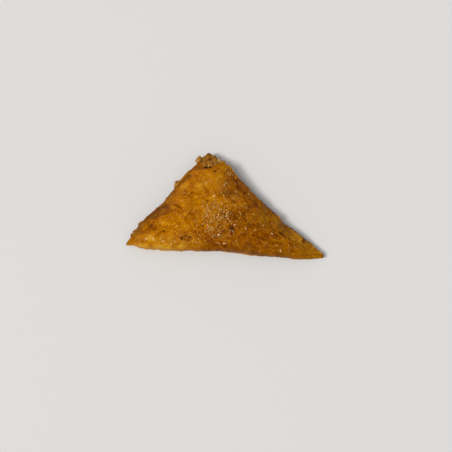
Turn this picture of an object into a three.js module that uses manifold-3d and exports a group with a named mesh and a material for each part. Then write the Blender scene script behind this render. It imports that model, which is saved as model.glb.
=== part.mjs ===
// A baked phyllo triangle with a nut filling.
// A square stack of buttered sheets is folded corner to corner over chopped nuts: one long side is the fold,
// the two short sides are open edges of sheets, and the nuts show at the open corner.
// Millimetres. X runs along the fold, Y from the fold to the open corner, Z up.
import * as THREE from "three";
import { mergeVertices } from "three/addons/utils/BufferGeometryUtils.js";
import Module from "manifold-3d";

const wasm = await Module();
wasm.setup();

// ---- driving dimensions ----

const foldLength = 143.6; // tip to tip
const halfLength = foldLength / 2;

// Lines seen from above, as [x, y]: y is 0 at the middle of the fold.
const foldLine = [
  [-halfLength, 4.6],
  [-66, 4.2],
  [-61, 2.4],
  [-46, 1.3],
  [-32, 0.4],
  [-14, 0],
  [6, -0.3],
  [26, -3.2],
  [45, -4.8],
  [57, -5.8],
  [66, -4.8],
  [halfLength, -3.7],
];
const lowerEdge = [
  [-halfLength, 6],
  [-67.4, 12.2],
  [-61, 21.2],
  [-53, 28.6],
  [-45, 35.8],
  [-36, 46.6],
  [-23, 61.8],
  [-17, 66.2],
  [-10, 67.4],
  [0, 64.2],
  [9, 55.4],
  [24, 39],
  [38, 27],
  [42, 21.8],
  [54, 13],
  [65, 3.6],
  [halfLength, -2.2],
];
const topEdge = [
  [-halfLength, 5.6],
  [-65, 9.6],
  [-58, 18.6],
  [-45, 32],
  [-38, 42.4],
  [-30, 51.6],
  [-23, 60],
  [-18, 60],
  [-11, 58.8],
  [-7, 61.9],
  [-3, 63.3],
  [3, 61.5],
  [13.2, 48.6],
  [22, 38.4],
  [25.4, 34.4],
  [28.6, 20.4],
  [33, 15.4],
  [39, 12],
  [48, 7],
  [55, 4],
  [61, -0.6],
  [halfLength, -3],
];

const edgeThickness = 8.2; // both stacks of sheets together, at the open edges
const tipThickness = 2.8; // the same at the two thin tips
const moundRise = 10.6; // how much the filling lifts the top
const moundReach = 23; // distance from an edge to the level part of the mound
const moundRounding = 16; // how softly its three slopes run into each other
const cornerRise = 3.8; // how far the nuts hold the open corner apart
const tipLift = 1.8; // the baked tips curl up off the table
const levelReach = 44; // how far from the middle the underside is level
const foldRadius = 4.2;
const lumpRise = 0.75; // nuts felt through the sheets
const lumpRadius = 5.5;
const lumpCount = 26;
const lumpField = { x: -6, y: 27, across: 40, deep: 22 };

// Bundles of sheets, from the table up. Share is the part of the edge's thickness, in is how far its edge
// is set back, ragged the depth of its bites, and toTop how far it follows the top sheets' edge on the long
// open side.
const bundles = [
  { share: 0.15, in: 0.9, ragged: 0.5, toTop: 0 },
  { share: 0.17, in: 0.1, ragged: 0.7, toTop: 0 },
  { share: 0.16, in: 0.8, ragged: 0.5, toTop: 0 },
  { share: 0.17, in: 0.6, ragged: 0.6, toTop: 0.12 },
  { share: 0.18, in: 0.4, ragged: 0.7, toTop: 0.2 },
  { share: 0.17, in: 0.3, ragged: 0.5, toTop: 1 },
];
const firstUpper = 3; // the bundles from here on lie above the filling
const notchDepth = 0.8; // the dark line between two bundles
const partingDepth = 1.7; // the deeper one between the two stacks

const stationCount = 92;
const topRows = 18;
const terraceRows = 2;
const foldRows = 6;

const fillingInset = 9; // from the edges to the rim of the filling
const mouthInset = 2.6; // the same at the open corner
const mouth = { x: -8, reach: 13 };
const fillingFrom = -52;
const fillingTo = 43;
const fillingSteps = 34;
const fillingSides = 16;
const gap = 0.3; // between the filling and the sheets

// Nuts that show, as [x, y, height of the middle, half sizes long, middle and short, turn about Z].
const cornerNuts = [
  [-18.6, 66.2, 7.4, 3.4, 2.7, 2.6, 1.35],
  [-14.6, 67.2, 6.6, 3.4, 2.9, 2.7, 0.6],
  [-11.2, 69.2, 6.6, 3.3, 2.8, 2.5, 2.2],
  [-14.8, 63.2, 9.8, 3.4, 2.6, 2.3, 0.2],
  [-10.8, 63.6, 10, 3.1, 2.7, 2.3, 2.7],
  [-8, 67.2, 6.8, 3.1, 2.6, 2.4, 1.1],
  [-4.9, 66.2, 7.4, 2.3, 1.9, 1.8, 0.4],
  [-7, 65, 9.2, 2.9, 2.3, 2.1, 1.9],
  [-1.6, 64, 6.4, 2.9, 2.2, 2.1, 2.4],
  [2.4, 61.2, 6, 2.7, 2, 1.9, 2.3],
];
const sideNut = [-34.7, 49, 6, 3.3, 2.4, 2.3, 1.35];

// ---- small tools ----

const clamp = (value, low = 0, high = 1) => Math.min(high, Math.max(low, value));
const mix = (from, to, share) => from + (to - from) * share;
const smoothStep = (value) => clamp(value) ** 2 * (3 - 2 * clamp(value));
const bell = (value) => Math.exp(-value * value);

// The lesser of two values, rounded over where they are within reach of each other.
function softMin(a, b, reach) {
  const share = clamp(0.5 + (0.5 * (b - a)) / reach);
  return mix(b, a, share) - reach * share * (1 - share);
}

// A smooth line through points whose x grows, read at x.
function lineAt(points, x) {
  const last = points.length - 1;
  const at = clamp(points.findIndex((point) => point[0] > x), 1, last);
  const i = (x >= points[last][0] ? last : at) - 1;
  const slope = (j) => {
    const [from, to] = [points[Math.max(j - 1, 0)], points[Math.min(j + 1, last)]];
    return (to[1] - from[1]) / (to[0] - from[0]);
  };
  const [[x0, y0], [x1, y1]] = [points[i], points[i + 1]];
  const span = x1 - x0;
  const t = clamp((x - x0) / span);
  const bend0 = slope(i) * span;
  const bend1 = slope(i + 1) * span;
  return (
    y0 * (2 * t ** 3 - 3 * t ** 2 + 1) +
    bend0 * (t ** 3 - 2 * t ** 2 + t) +
    y1 * (3 * t ** 2 - 2 * t ** 3) +
    bend1 * (t ** 3 - t ** 2)
  );
}

// Uneven from -1 to 1 along an edge, and different for each turn.
const uneven = (x, turn) =>
  0.5 * Math.sin(0.31 * x + 2.1 * turn) +
  0.3 * Math.sin(0.83 * x + 4.7 * turn + 1) +
  0.2 * Math.sin(1.9 * x + 1.3 * turn);

// ---- the pastry's own forms ----

const lift = (x) => tipLift * smoothStep((Math.abs(x) - levelReach) / (halfLength - levelReach)) ** 2;

const widthAt = (x) => lineAt(lowerEdge, x) - lineAt(foldLine, x);

// 0 at the tips and 1 where the triangle is wide.
const fullness = (x) => smoothStep(widthAt(x) / 34);

const edgeHeight = (x) => mix(tipThickness, edgeThickness, fullness(x));

// Soft bumps on a spiral over the filling.
const lumps = Array.from({ length: lumpCount }, (_, i) => {
  const angle = i * 2.39996; // the golden angle
  const out = Math.sqrt((i + 0.5) / lumpCount);
  return {
    x: lumpField.x + lumpField.across * out * Math.cos(angle),
    y: lumpField.y + lumpField.deep * out * Math.sin(angle),
    tall: 0.6 + 0.4 * Math.sin(5 * i),
  };
});

function topHeight(x, y) {
  const fromFold = y - lineAt(foldLine, x);
  const fromEdge = 0.7 * (lineAt(lowerEdge, x) - y);
  const near = Math.max(0, softMin(fromFold, fromEdge, moundRounding));
  const rise = 1 - (1 - clamp(near / moundReach)) ** 2;
  const parted = cornerRise * bell((x - mouth.x) / mouth.reach) * bell(fromEdge / 14);
  const felt = lumps.reduce((sum, lump) => {
    const away = Math.hypot(x - lump.x, y - lump.y) / lumpRadius;
    return away < 2 ? sum + lump.tall * bell(away) : sum;
  }, 0);
  const waves =
    0.2 * Math.sin(0.37 * x + 0.21 * y + 1.5 * Math.sin(0.12 * y)) +
    0.16 * Math.sin(0.71 * y - 0.13 * x + 2 * Math.sin(0.09 * x)) +
    0.12 * Math.sin(0.9 * x + 0.6 * y + 2);
  return lift(x) + edgeHeight(x) + moundRise * rise + parted + (lumpRise * felt + waves) * clamp(near / 6);
}

// How far a bundle's edge is from the fold, at x.
function bundleEdge(x, k) {
  const { in: setBack, ragged, toTop } = bundles[k];
  const outer = lineAt(lowerEdge, x);
  const inner = lineAt(topEdge, x);
  const atMouth = k >= firstUpper ? smoothStep(2 - Math.abs(x - mouth.x - 5) / 9) : 0;
  const bite = (setBack + ragged * uneven(x, k + 1)) * 1.4 * fullness(x);
  return mix(outer, inner, Math.max(toTop, atMouth)) - bite;
}

// One slice of the pastry across X: a closed ring of [y, z], from the fold along the table, up the open edge
// and back over the top.
function pastrySlice(x) {
  const floor = lift(x);
  const fold = lineAt(foldLine, x) - 0.3 * fullness(x) * uneven(x, 9);
  const width = widthAt(x);
  const round = Math.min(foldRadius, 0.3 * width);
  const notch = mix(0.3, notchDepth, fullness(x));
  const edges = bundles.map((_, k) => Math.max(bundleEdge(x, k), fold + 0.55 * width));
  const total = edgeHeight(x);
  const ring = [
    [fold + round, floor],
    [edges[0] - 0.7 * notch, floor],
  ];
  let below = 0;
  bundles.forEach(({ share }, k) => {
    const height = (y, level) =>
      k < firstUpper ? floor + level * total : topHeight(x, y) - (1 - level) * total;
    const edge = edges[k];
    const above = below + share;
    ring.push([edge, height(edge, below + 0.03)], [edge + 0.15 * notch, height(edge, above - 0.04)]);
    if (k + 1 < bundles.length) {
      const depth = k + 1 === firstUpper ? mix(0.3, partingDepth, fullness(x)) : notch;
      const inside = Math.min(edge, edges[k + 1]) - depth;
      const rows = k === bundles.length - 2 ? terraceRows : 0; // under the set-back top bundle
      for (let row = 1; row <= rows; row++) {
        const y = mix(edge, inside, row / (rows + 1));
        ring.push([y, height(y, above)]);
      }
      ring.push([inside, height(inside, above)]);
    }
    below = above;
  });
  const start = edges.at(-1);
  const end = fold + round;
  for (let row = 1; row <= topRows; row++) {
    const y = mix(start - 0.4 * notch, end, row / topRows);
    ring.push([y, topHeight(x, y)]);
  }
  const crown = topHeight(x, end);
  for (let row = 1; row < foldRows; row++) {
    const turn = (Math.PI * row) / foldRows;
    const side = round * (1 - Math.sin(turn) * (1 - 0.06 * (row % 2)));
    ring.push([fold + side, mix(floor, crown, 0.5 + 0.5 * Math.cos(turn))]);
  }
  return ring;
}

// The filling's rim on the open side: it comes to the edge at the open corner and at one nut.
function fillingEnd(x) {
  const inset = mix(fillingInset, mouthInset, smoothStep(2 - Math.abs(x - mouth.x) / 8));
  const atSideNut = bell((x - sideNut[0]) / 3);
  return lineAt(lowerEdge, x) - mix(1.4 * inset, 0.6, atSideNut);
}

// One slice of the filling between the two stacks, grown all round by grow.
function fillingSlice(x, grow) {
  const start = lineAt(foldLine, x) + fillingInset;
  const end = Math.max(fillingEnd(x), start + 3);
  const sheets = edgeHeight(x);
  const low = lift(x) + 0.5 * sheets;
  return Array.from({ length: fillingSides }, (_, i) => {
    const turn = (2 * Math.PI * i) / fillingSides;
    const y = mix(start, end, 0.5 - 0.5 * Math.cos(turn));
    const high = Math.max(topHeight(x, y) - 0.55 * sheets, low + 1.2);
    const z = mix(low, high, 0.5 - 0.5 * Math.sin(turn));
    return [y - grow * Math.cos(turn), z - grow * Math.sin(turn)];
  });
}

// A closed skin over rings of the same number of points, one ring for each x.
function loft(xs, rings) {
  const around = rings[0].length;
  const position = rings.flatMap((ring, i) => ring.flatMap(([y, z]) => [xs[i], y, z]));
  const index = [];
  for (let i = 0; i + 1 < rings.length; i++) {
    for (let j = 0; j < around; j++) {
      const [a, b] = [i * around + j, i * around + ((j + 1) % around)];
      const [c, d] = [a + around, b + around];
      index.push(a, b, c, b, d, c);
    }
  }
  const cap = (i, turned) => {
    const middle = [0, 1].map((axis) => rings[i].reduce((sum, point) => sum + point[axis], 0) / around);
    const centre = position.push(xs[i], ...middle) / 3 - 1;
    for (let j = 0; j < around; j++) {
      const [a, b] = [i * around + j, i * around + ((j + 1) % around)];
      index.push(centre, turned ? b : a, turned ? a : b);
    }
  };
  cap(0, true);
  cap(rings.length - 1, false);
  const geometry = new THREE.BufferGeometry();
  geometry.setAttribute("position", new THREE.Float32BufferAttribute(position, 3));
  geometry.setIndex(index);
  return geometry;
}

// A chopped nut: a ball with flats and hollows.
function nut([x, y, z, long, middle, short, turn], grow) {
  const geometry = new THREE.IcosahedronGeometry(1, 2);
  const place = geometry.attributes.position;
  const point = new THREE.Vector3();
  for (let i = 0; i < place.count; i++) {
    point.fromBufferAttribute(place, i).normalize();
    const crag =
      0.11 * Math.sin(4.1 * point.x + 5 * turn) * Math.cos(3.7 * point.y + 9 * turn) +
      0.1 * Math.sin(6.3 * point.z + 5.1 * point.x + 7 * turn);
    const [halfX, halfY, halfZ] = [long, middle, short].map((size) => size * (0.96 + crag) + grow);
    place.setXYZ(i, point.x * halfX, point.y * halfY, point.z * halfZ);
  }
  return geometry.rotateZ(turn).translate(x, y, z);
}

// ---- solids ----

function solidFrom(geometry) {
  const bare = geometry.clone();
  bare.deleteAttribute("normal");
  bare.deleteAttribute("uv");
  const merged = mergeVertices(bare, 1e-4);
  return new wasm.Manifold(
    new wasm.Mesh({
      numProp: 3,
      vertProperties: merged.attributes.position.array,
      triVerts: new Uint32Array(merged.index.array),
    }),
  );
}

// The geometry of a solid's largest body: a loose scrap left by a cut is dropped.
function geometryFrom(solid) {
  const body = solid.decompose().reduce((a, b) => (a.volume() > b.volume() ? a : b));
  const mesh = body.getMesh();
  const geometry = new THREE.BufferGeometry();
  geometry.setAttribute("position", new THREE.BufferAttribute(mesh.vertProperties, 3));
  geometry.setIndex(new THREE.BufferAttribute(mesh.triVerts, 1));
  geometry.computeVertexNormals();
  return geometry;
}

// Stations from one x to another, in equal steps.
const stations = (from, to, steps) => Array.from({ length: steps + 1 }, (_, i) => mix(from, to, i / steps));

function pastrySolid() {
  const xs = stations(-halfLength, halfLength, stationCount - 1);
  return solidFrom(loft(xs, xs.map(pastrySlice)));
}

function fillingSolid(grow) {
  const xs = stations(fillingFrom, fillingTo, fillingSteps);
  const rings = xs.map((x) => fillingSlice(x, grow));
  xs[0] -= grow;
  xs[fillingSteps] += grow;
  const core = solidFrom(loft(xs, rings));
  return [...cornerNuts, sideNut].reduce((solid, size) => solid.add(solidFrom(nut(size, grow))), core);
}

function addMesh(group, name, geometry, look) {
  const mesh = new THREE.Mesh(geometry, new THREE.MeshStandardMaterial(look));
  mesh.name = name;
  group.add(mesh);
}

const baklava = new THREE.Group();
addMesh(baklava, "phyllo", geometryFrom(pastrySolid().subtract(fillingSolid(gap))), {
  color: 0xa3660f,
  roughness: 0.38,
  metalness: 0,
});
addMesh(baklava, "filling", geometryFrom(fillingSolid(0)), {
  color: 0x8c6026,
  roughness: 0.6,
  metalness: 0,
});

// The origin is under the middle of the whole, on the table.
const box = new THREE.Box3().setFromObject(baklava);
const centre = box.getCenter(new THREE.Vector3());
for (const mesh of baklava.children) mesh.position.set(-centre.x, -centre.y, -box.min.z);

export default baklava;
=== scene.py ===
import math
import random

import bpy
import numpy as np
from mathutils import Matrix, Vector, noise
from mathutils.bvhtree import BVHTree


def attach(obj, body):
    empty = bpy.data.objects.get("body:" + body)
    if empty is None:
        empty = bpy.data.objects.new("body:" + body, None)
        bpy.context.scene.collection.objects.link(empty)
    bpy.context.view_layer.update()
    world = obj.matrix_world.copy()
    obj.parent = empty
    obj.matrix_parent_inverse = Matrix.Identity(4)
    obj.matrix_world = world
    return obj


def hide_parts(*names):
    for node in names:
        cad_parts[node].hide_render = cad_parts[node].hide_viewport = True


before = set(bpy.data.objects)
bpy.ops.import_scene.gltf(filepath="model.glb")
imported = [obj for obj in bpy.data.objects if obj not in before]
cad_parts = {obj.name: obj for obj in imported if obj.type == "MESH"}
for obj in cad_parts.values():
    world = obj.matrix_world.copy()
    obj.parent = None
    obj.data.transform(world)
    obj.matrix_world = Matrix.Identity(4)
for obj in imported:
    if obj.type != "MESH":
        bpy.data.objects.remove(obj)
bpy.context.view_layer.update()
mm = 0.001
print("frame loaded")

# The pastry's form in millimetres: x runs along the fold, y from the fold towards the open corner.

pastry = {
    "halfLength": 71.8,
    "middleY": 33.593,  # from the fold's middle to the origin
    "edgeThickness": 8.2,  # both stacks at the open edges
    "edgeSlope": 0.7,  # the mound rises this much slower from the open edges than from the fold
    "tipThickness": 2.8,
    "moundRise": 10.6,
    "moundReach": 23,
    "moundRounding": 16,
    "cornerRise": 3.8,
    "tipLift": 1.8,
    "tipRounding": 2.0,
    "levelReach": 44,
    "foldRadius": 4.2,
    "lumpRise": 0.75,  # nuts felt through the sheets
    "lumpRadius": 5.5,
    "lumpCount": 26,
    "lumpCentre": (-6, 27),
    "lumpSpread": (40, 22),
    "mouthX": -8,
    "mouthReach": 13,
    "foldLine": [(-71.8, 4.6), (-66, 4.2), (-61, 2.4), (-46, 1.3), (-32, 0.4), (-14, 0), (6, -0.3),
                 (26, -3.2), (45, -4.8), (57, -5.8), (66, -5.2), (71.8, -4.7)],
    "lowerEdge": [(-71.8, 6), (-67.4, 12.2), (-61, 21.2), (-53, 28.6), (-45, 35.8), (-36, 46.6),
                  (-23, 61.8), (-17, 66.2), (-10, 67.4), (0, 64.2), (9, 55.4), (24, 39), (38, 27),
                  (42, 21.8), (54, 13), (65, 3.6), (71.8, -2.2)],
    "topEdge": [(-71.8, 5.6), (-65, 9.6), (-58, 18.6), (-45, 32), (-38, 42.4), (-30, 51.6), (-23, 60),
                (-18, 60), (-11, 58.8), (-7, 61.9), (-3, 63.3), (3, 61.5), (13.2, 48.6), (22, 38.4),
                (25.4, 34.4), (28.6, 20.4), (33, 15.4), (39, 12), (48, 7), (55, 4), (61, -0.6), (71.8, -3)],
}


def mix(a, b, share):
    return a + (b - a) * share


def eased(value, start=0, reach=1):
    # grows smoothly from 0 at the start to 1 after the reach
    t = np.clip((value - start) / reach, 0, 1)
    return t * t * (3 - 2 * t)


def bell(value, middle=0, reach=1):
    return np.exp(-np.square((value - middle) / reach))


def softMin(a, b, reach):
    share = np.clip(0.5 + 0.5 * (b - a) / reach, 0, 1)
    return mix(b, a, share) - reach * share * (1 - share)


def lineAt(points, x):
    # a smooth line through points, read at x
    px, py = np.array(points, float).T
    slope = np.gradient(py, px)
    slope[1:-1] = (py[2:] - py[:-2]) / (px[2:] - px[:-2])
    i = np.clip(np.searchsorted(px, x, side="right") - 1, 0, len(px) - 2)
    span = px[i + 1] - px[i]
    t = np.clip((x - px[i]) / span, 0, 1)
    return (
        py[i] * (2 * t**3 - 3 * t**2 + 1)
        + slope[i] * span * (t**3 - 2 * t**2 + t)
        + py[i + 1] * (3 * t**2 - 2 * t**3)
        + slope[i + 1] * span * (t**3 - t**2)
    )


def foldAt(x):
    return lineAt(pastry["foldLine"], x)


def lowerEdgeAt(x):
    return lineAt(pastry["lowerEdge"], x)


def topEdgeAt(x):
    return lineAt(pastry["topEdge"], x)


def fromEdgeAt(x, y):
    return pastry["edgeSlope"] * (lowerEdgeAt(x) - y)


def fullness(x):
    # 0 at the two tips, 1 where the piece is deep
    return eased((lowerEdgeAt(x) - foldAt(x)) / 34)


def edgeHeight(x):
    return mix(pastry["tipThickness"], pastry["edgeThickness"], fullness(x))


def lift(x):
    level, half = pastry["levelReach"], pastry["halfLength"]
    return pastry["tipLift"] * eased(np.abs(x), level, half - level) ** 2


def topHeight(x, y):
    fromEdge = fromEdgeAt(x, y)
    near = np.maximum(0, softMin(y - foldAt(x), fromEdge, pastry["moundRounding"]))
    rise = 1 - (1 - np.clip(near / pastry["moundReach"], 0, 1)) ** 2
    parted = pastry["cornerRise"] * bell(x, pastry["mouthX"], pastry["mouthReach"]) * bell(fromEdge / 14)
    felt = np.zeros_like(x + y)
    goldenAngle = 2.39996
    for i in range(pastry["lumpCount"]):
        out = math.sqrt((i + 0.5) / pastry["lumpCount"])
        cx = pastry["lumpCentre"][0] + pastry["lumpSpread"][0] * out * math.cos(i * goldenAngle)
        cy = pastry["lumpCentre"][1] + pastry["lumpSpread"][1] * out * math.sin(i * goldenAngle)
        away = np.hypot(x - cx, y - cy) / pastry["lumpRadius"]
        felt += np.where(away < 2, (0.6 + 0.4 * math.sin(5 * i)) * bell(away), 0)
    waves = (
        0.2 * np.sin(0.37 * x + 0.21 * y + 1.5 * np.sin(0.12 * y))
        + 0.16 * np.sin(0.71 * y - 0.13 * x + 2 * np.sin(0.09 * x))
        + 0.12 * np.sin(0.9 * x + 0.6 * y + 2)
    )
    soft = (pastry["lumpRise"] * felt + waves) * np.clip(near / 6, 0, 1)
    return lift(x) + edgeHeight(x) + pastry["moundRise"] * rise + parted + soft


def uneven(x, turn):
    # a torn line's waver, another one for each turn
    return (
        0.5 * np.sin(0.31 * x + 2.1 * turn)
        + 0.3 * np.sin(0.83 * x + 4.7 * turn + 1)
        + 0.2 * np.sin(1.9 * x + 1.3 * turn)
    )


def tipClosed(x, z):
    # the two tips grow thin and close in a rounded end
    middle = lift(x) + 0.5 * edgeHeight(x)
    past = np.clip((np.abs(x) - pastry["halfLength"]) / pastry["tipRounding"] + 1, 0, 0.99)
    slender = 1 - 0.35 * eased(np.abs(x), 65.5, 5)
    return middle + (z - middle) * slender * np.sqrt(1 - past**2)


def atMouth(x):
    # 1 where the upper stack stands back from the nuts
    return eased(2 - np.abs(x - pastry["mouthX"] - 5) / 9)


# Small tools.


def sampled(x, y, z, size, seed=0, stretch=(1, 1, 1), how=None):
    # a noise field read at every point, about -1 to 1; size is in millimetres
    read = how or noise.noise
    x, y, z = np.broadcast_arrays(x, y, z)
    shape = x.shape
    away = (7.3 * seed, -3.1 * seed, 1.7 * seed)  # another part of the noise for each seed
    grid = np.stack([c.ravel() / (size * s) + a for c, s, a in zip((x, y, z), stretch, away)], 1)
    return np.array([read(Vector(p)) for p in grid.tolist()]).reshape(shape)


def fractal(octaves):
    return lambda p: noise.fractal(p, 0.9, 2.1, octaves)


def ridged(octaves):
    return lambda p: noise.ridged_multi_fractal(p, 0.9, 2.1, octaves, 1.0, 2.0) - 1.0


def cells(x, y, size, seed):
    # patches of film: a tone for each patch, -1 to 1, and how near a patch's border is, 0 to 1
    x, y = np.broadcast_arrays(x, y)
    tone, border = np.empty(x.size), np.empty(x.size)
    across, along = x.ravel() / size + 3.7 * seed, y.ravel() / size - 5.3 * seed
    for i, p in enumerate(zip(across.tolist(), along.tolist())):
        away, middles = noise.voronoi(Vector((*p, 0.5 * seed)))
        m = middles[0]
        tone[i] = math.sin(91.7 * m.x + 57.3 * m.y + 33.1 * m.z)
        border[i] = away[1] - away[0]
    return tone.reshape(x.shape), bell(border.reshape(x.shape) / 0.09)


def turned(x, y, degrees):
    c, s = math.cos(math.radians(degrees)), math.sin(math.radians(degrees))
    return c * x + s * y, c * y - s * x


def streaked(x, y, degrees, size, seed, long=6, octaves=2):
    # ridges that run one way
    return sampled(*turned(x, y, degrees), 0, size, seed, stretch=(long, 1, 1), how=ridged(octaves))


def warped(x, y, by, size, seed):
    # the same places, each moved a little
    return x + by * sampled(x, y, 0, size, seed), y + by * sampled(x, y, 0, size, seed + 1)


def bellAt(x, y, cx, cy, rx, ry, degrees=0):
    tx, ty = turned(x - cx, y - cy, degrees)
    return np.exp(-((tx / rx) ** 2) - (ty / ry) ** 2)


def patched(places, x, y):
    # the sum of soft patches, each given by x, y, half sizes, a turn where it has one, and an amount
    total = 0 * x + 0 * y
    for cx, cy, *form, amount in places:
        total += amount * bellAt(x, y, cx, cy, *form)
    return total


def lessened(places, x, y):
    # 1 outside the patches and less inside them
    share = 1 + 0 * x + 0 * y
    for cx, cy, *form, amount in places:
        share *= 1 - amount * bellAt(x, y, cx, cy, *form)
    return share


def besideLine(x, y, points):
    # distance from a broken line, and which side of it (+ is left of its direction)
    best = np.full(np.shape(x + y), 1e9)
    side = np.zeros_like(best)
    for (ax, ay), (bx, by) in zip(points, points[1:]):
        dx, dy = bx - ax, by - ay
        t = np.clip(((x - ax) * dx + (y - ay) * dy) / (dx * dx + dy * dy), 0, 1)
        away = np.hypot(x - ax - t * dx, y - ay - t * dy)
        nearer = away < best
        best = np.where(nearer, away, best)
        side = np.where(nearer, np.sign(dx * (y - ay) - dy * (x - ax)), side)
    return best, side


def selected(pieces):
    deselect()
    for piece in pieces:
        piece.select_set(True)


def deselect():
    if bpy.context.object and bpy.context.object.mode != "OBJECT":
        bpy.ops.object.mode_set(mode="OBJECT")
    bpy.ops.object.select_all(action="DESELECT")


def makeActive(piece):
    deselect()
    piece.select_set(True)
    bpy.context.view_layer.objects.active = piece


def vertexRows(piece, what):
    out = np.empty(len(piece.data.vertices) * 3)
    piece.data.vertices.foreach_get(what, out)
    return out.reshape(-1, 3)


def coordsOf(piece):
    return vertexRows(piece, "co")


def normalsOf(piece):
    return vertexRows(piece, "normal")


def setCoords(piece, co):
    piece.data.vertices.foreach_set("co", np.ascontiguousarray(co, dtype=np.float32).ravel())
    piece.data.update()


def paint(piece, **layers):
    # one number for each vertex in each named layer, for the materials to read
    for name, values in layers.items():
        layer = piece.data.attributes.get(name) or piece.data.attributes.new(name, "FLOAT", "POINT")
        each = np.empty(len(piece.data.vertices), dtype=np.float32)
        each[:] = np.ravel(values)
        layer.data.foreach_set("value", each)


def named(piece, name):
    piece.name = piece.data.name = name
    return piece


def placed(x, y, z):
    # part millimetres to metres in the frame
    return np.stack([x * mm, (y - pastry["middleY"]) * mm, z * mm], -1)


def laid(name, x, y, z):
    # a sheet through a grid of places in millimetres; its rows run along x
    deselect()
    rows, columns = z.shape
    bpy.ops.mesh.primitive_grid_add(x_subdivisions=columns - 1, y_subdivisions=rows - 1, size=1)
    piece = named(bpy.context.object, name)
    setCoords(piece, placed(x + 0 * z, y + 0 * z, z).reshape(-1, 3))
    return piece


def ball(subdivisions, name):
    deselect()
    bpy.ops.mesh.primitive_ico_sphere_add(subdivisions=subdivisions, radius=1)
    return named(bpy.context.object, name)


def faceUp(piece):
    # an open sheet shows its upper face
    if normalsOf(piece)[:, 2].mean() < 0:
        makeActive(piece)
        bpy.ops.object.mode_set(mode="EDIT")
        bpy.ops.mesh.select_all(action="SELECT")
        bpy.ops.mesh.flip_normals()
        bpy.ops.object.mode_set(mode="OBJECT")


def thickened(piece, thickness):
    solid = piece.modifiers.new("thickness", "SOLIDIFY")
    solid.thickness = thickness * mm
    solid.offset = 0
    makeActive(piece)
    bpy.ops.object.modifier_apply(modifier="thickness")
    return piece


def joined(pieces, name):
    selected(pieces)
    bpy.context.view_layer.objects.active = pieces[0]
    bpy.ops.object.join()
    return named(bpy.context.object, name)


def finished(piece, material, angle=None):
    makeActive(piece)
    if angle is None:
        bpy.ops.object.shade_smooth()
    else:
        bpy.ops.object.shade_smooth_by_angle(angle=math.radians(angle))
    piece.data.materials.append(material)
    return piece


# Looks that several pieces share.


def newGroup(name, inputs, outputs):
    group = bpy.data.node_groups.new(name, "ShaderNodeTree")
    for socketName, kind, value in inputs:
        socket = group.interface.new_socket(socketName, in_out="INPUT", socket_type=kind)
        if value is not None:
            socket.default_value = value
    for socketName, kind in outputs:
        group.interface.new_socket(socketName, in_out="OUTPUT", socket_type=kind)
    return group, group.nodes.new("NodeGroupInput"), group.nodes.new("NodeGroupOutput")


def feed(tree, node, **values):
    # each input takes another node's output or a plain value; "_" stands for a space in its name
    for key, value in values.items():
        socket = node.inputs[key.replace("_", " ")]
        if isinstance(value, bpy.types.NodeSocket):
            tree.links.new(value, socket)
        else:
            socket.default_value = value


def addNode(tree, kind, settings=None, **values):
    node = tree.nodes.new(kind)
    for key, value in (settings or {}).items():
        setattr(node, key, value)
    feed(tree, node, **values)
    return node


def maths(tree, what, *values, clamp=False):
    node = addNode(tree, "ShaderNodeMath", {"operation": what, "use_clamp": clamp})
    for socket, value in zip(node.inputs, values):
        if isinstance(value, (int, float)):
            socket.default_value = value
        else:
            tree.links.new(value, socket)
    return node.outputs[0]


def timesPlus(tree, value, by, plus, clamp=False):
    return maths(tree, "MULTIPLY_ADD", value, by, plus, clamp=clamp)


def ramp(tree, fac, stops):
    node = tree.nodes.new("ShaderNodeValToRGB")
    for i, (place, colour) in enumerate(stops):
        stop = node.color_ramp.elements[i] if i < 2 else node.color_ramp.elements.new(place)
        stop.position = place
        stop.color = (*colour, 1)
    tree.links.new(fac, node.inputs[0])
    return node.outputs[0]


def noiseNode(tree, vector, scale, detail=3, rough=0.55, distort=0.0):
    values = {"Vector": vector, "Scale": scale, "Detail": detail, "Roughness": rough, "Distortion": distort}
    return addNode(tree, "ShaderNodeTexNoise", **values).outputs["Fac"]


def dotted(tree, vector, scale, size):
    # round dots, one to a cell
    cell = addNode(tree, "ShaderNodeTexVoronoi", Vector=vector, Scale=scale)
    return timesPlus(tree, cell.outputs["Distance"], -9.0, size, clamp=True)


def bumped(tree, height, strength, distance):
    return addNode(tree, "ShaderNodeBump", Strength=strength, Distance=distance, Height=height).outputs[0]


def newMaterial(name):
    material = bpy.data.materials.new(name)
    material.use_nodes = True
    tree = material.node_tree
    vector = tree.nodes.new("ShaderNodeTexCoord").outputs["Object"]
    return material, tree, tree.nodes["Principled BSDF"], vector


bakeColours = {
    "pale": (0.64, 0.30, 0.018),
    "gold": (0.50, 0.180, 0.0008),
    "amber": (0.362, 0.109, 0.0004),
    "brown": (0.172, 0.036, 0.0003),
    "burnt": (0.044, 0.007, 0.0003),
    "olive": (0.270, 0.130, 0.003),
    "yellower": (1.04, 1.20, 1.1),  # the two tints multiply the rest
    "redder": (0.94, 0.72, 0.7),
    "film": (0.550, 0.270, 0.032),  # thin dry film that has lifted
    # pale flecks: pale film with painted glints
    "fleck": (0.88, 0.50, 0.17),
    "soaked": (0.42, 0.40, 0.35),  # the rest is multiplied by this where it is made darker: painted shade along the fold's face and the right side, and the pastry's own darker tone there
}


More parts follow.
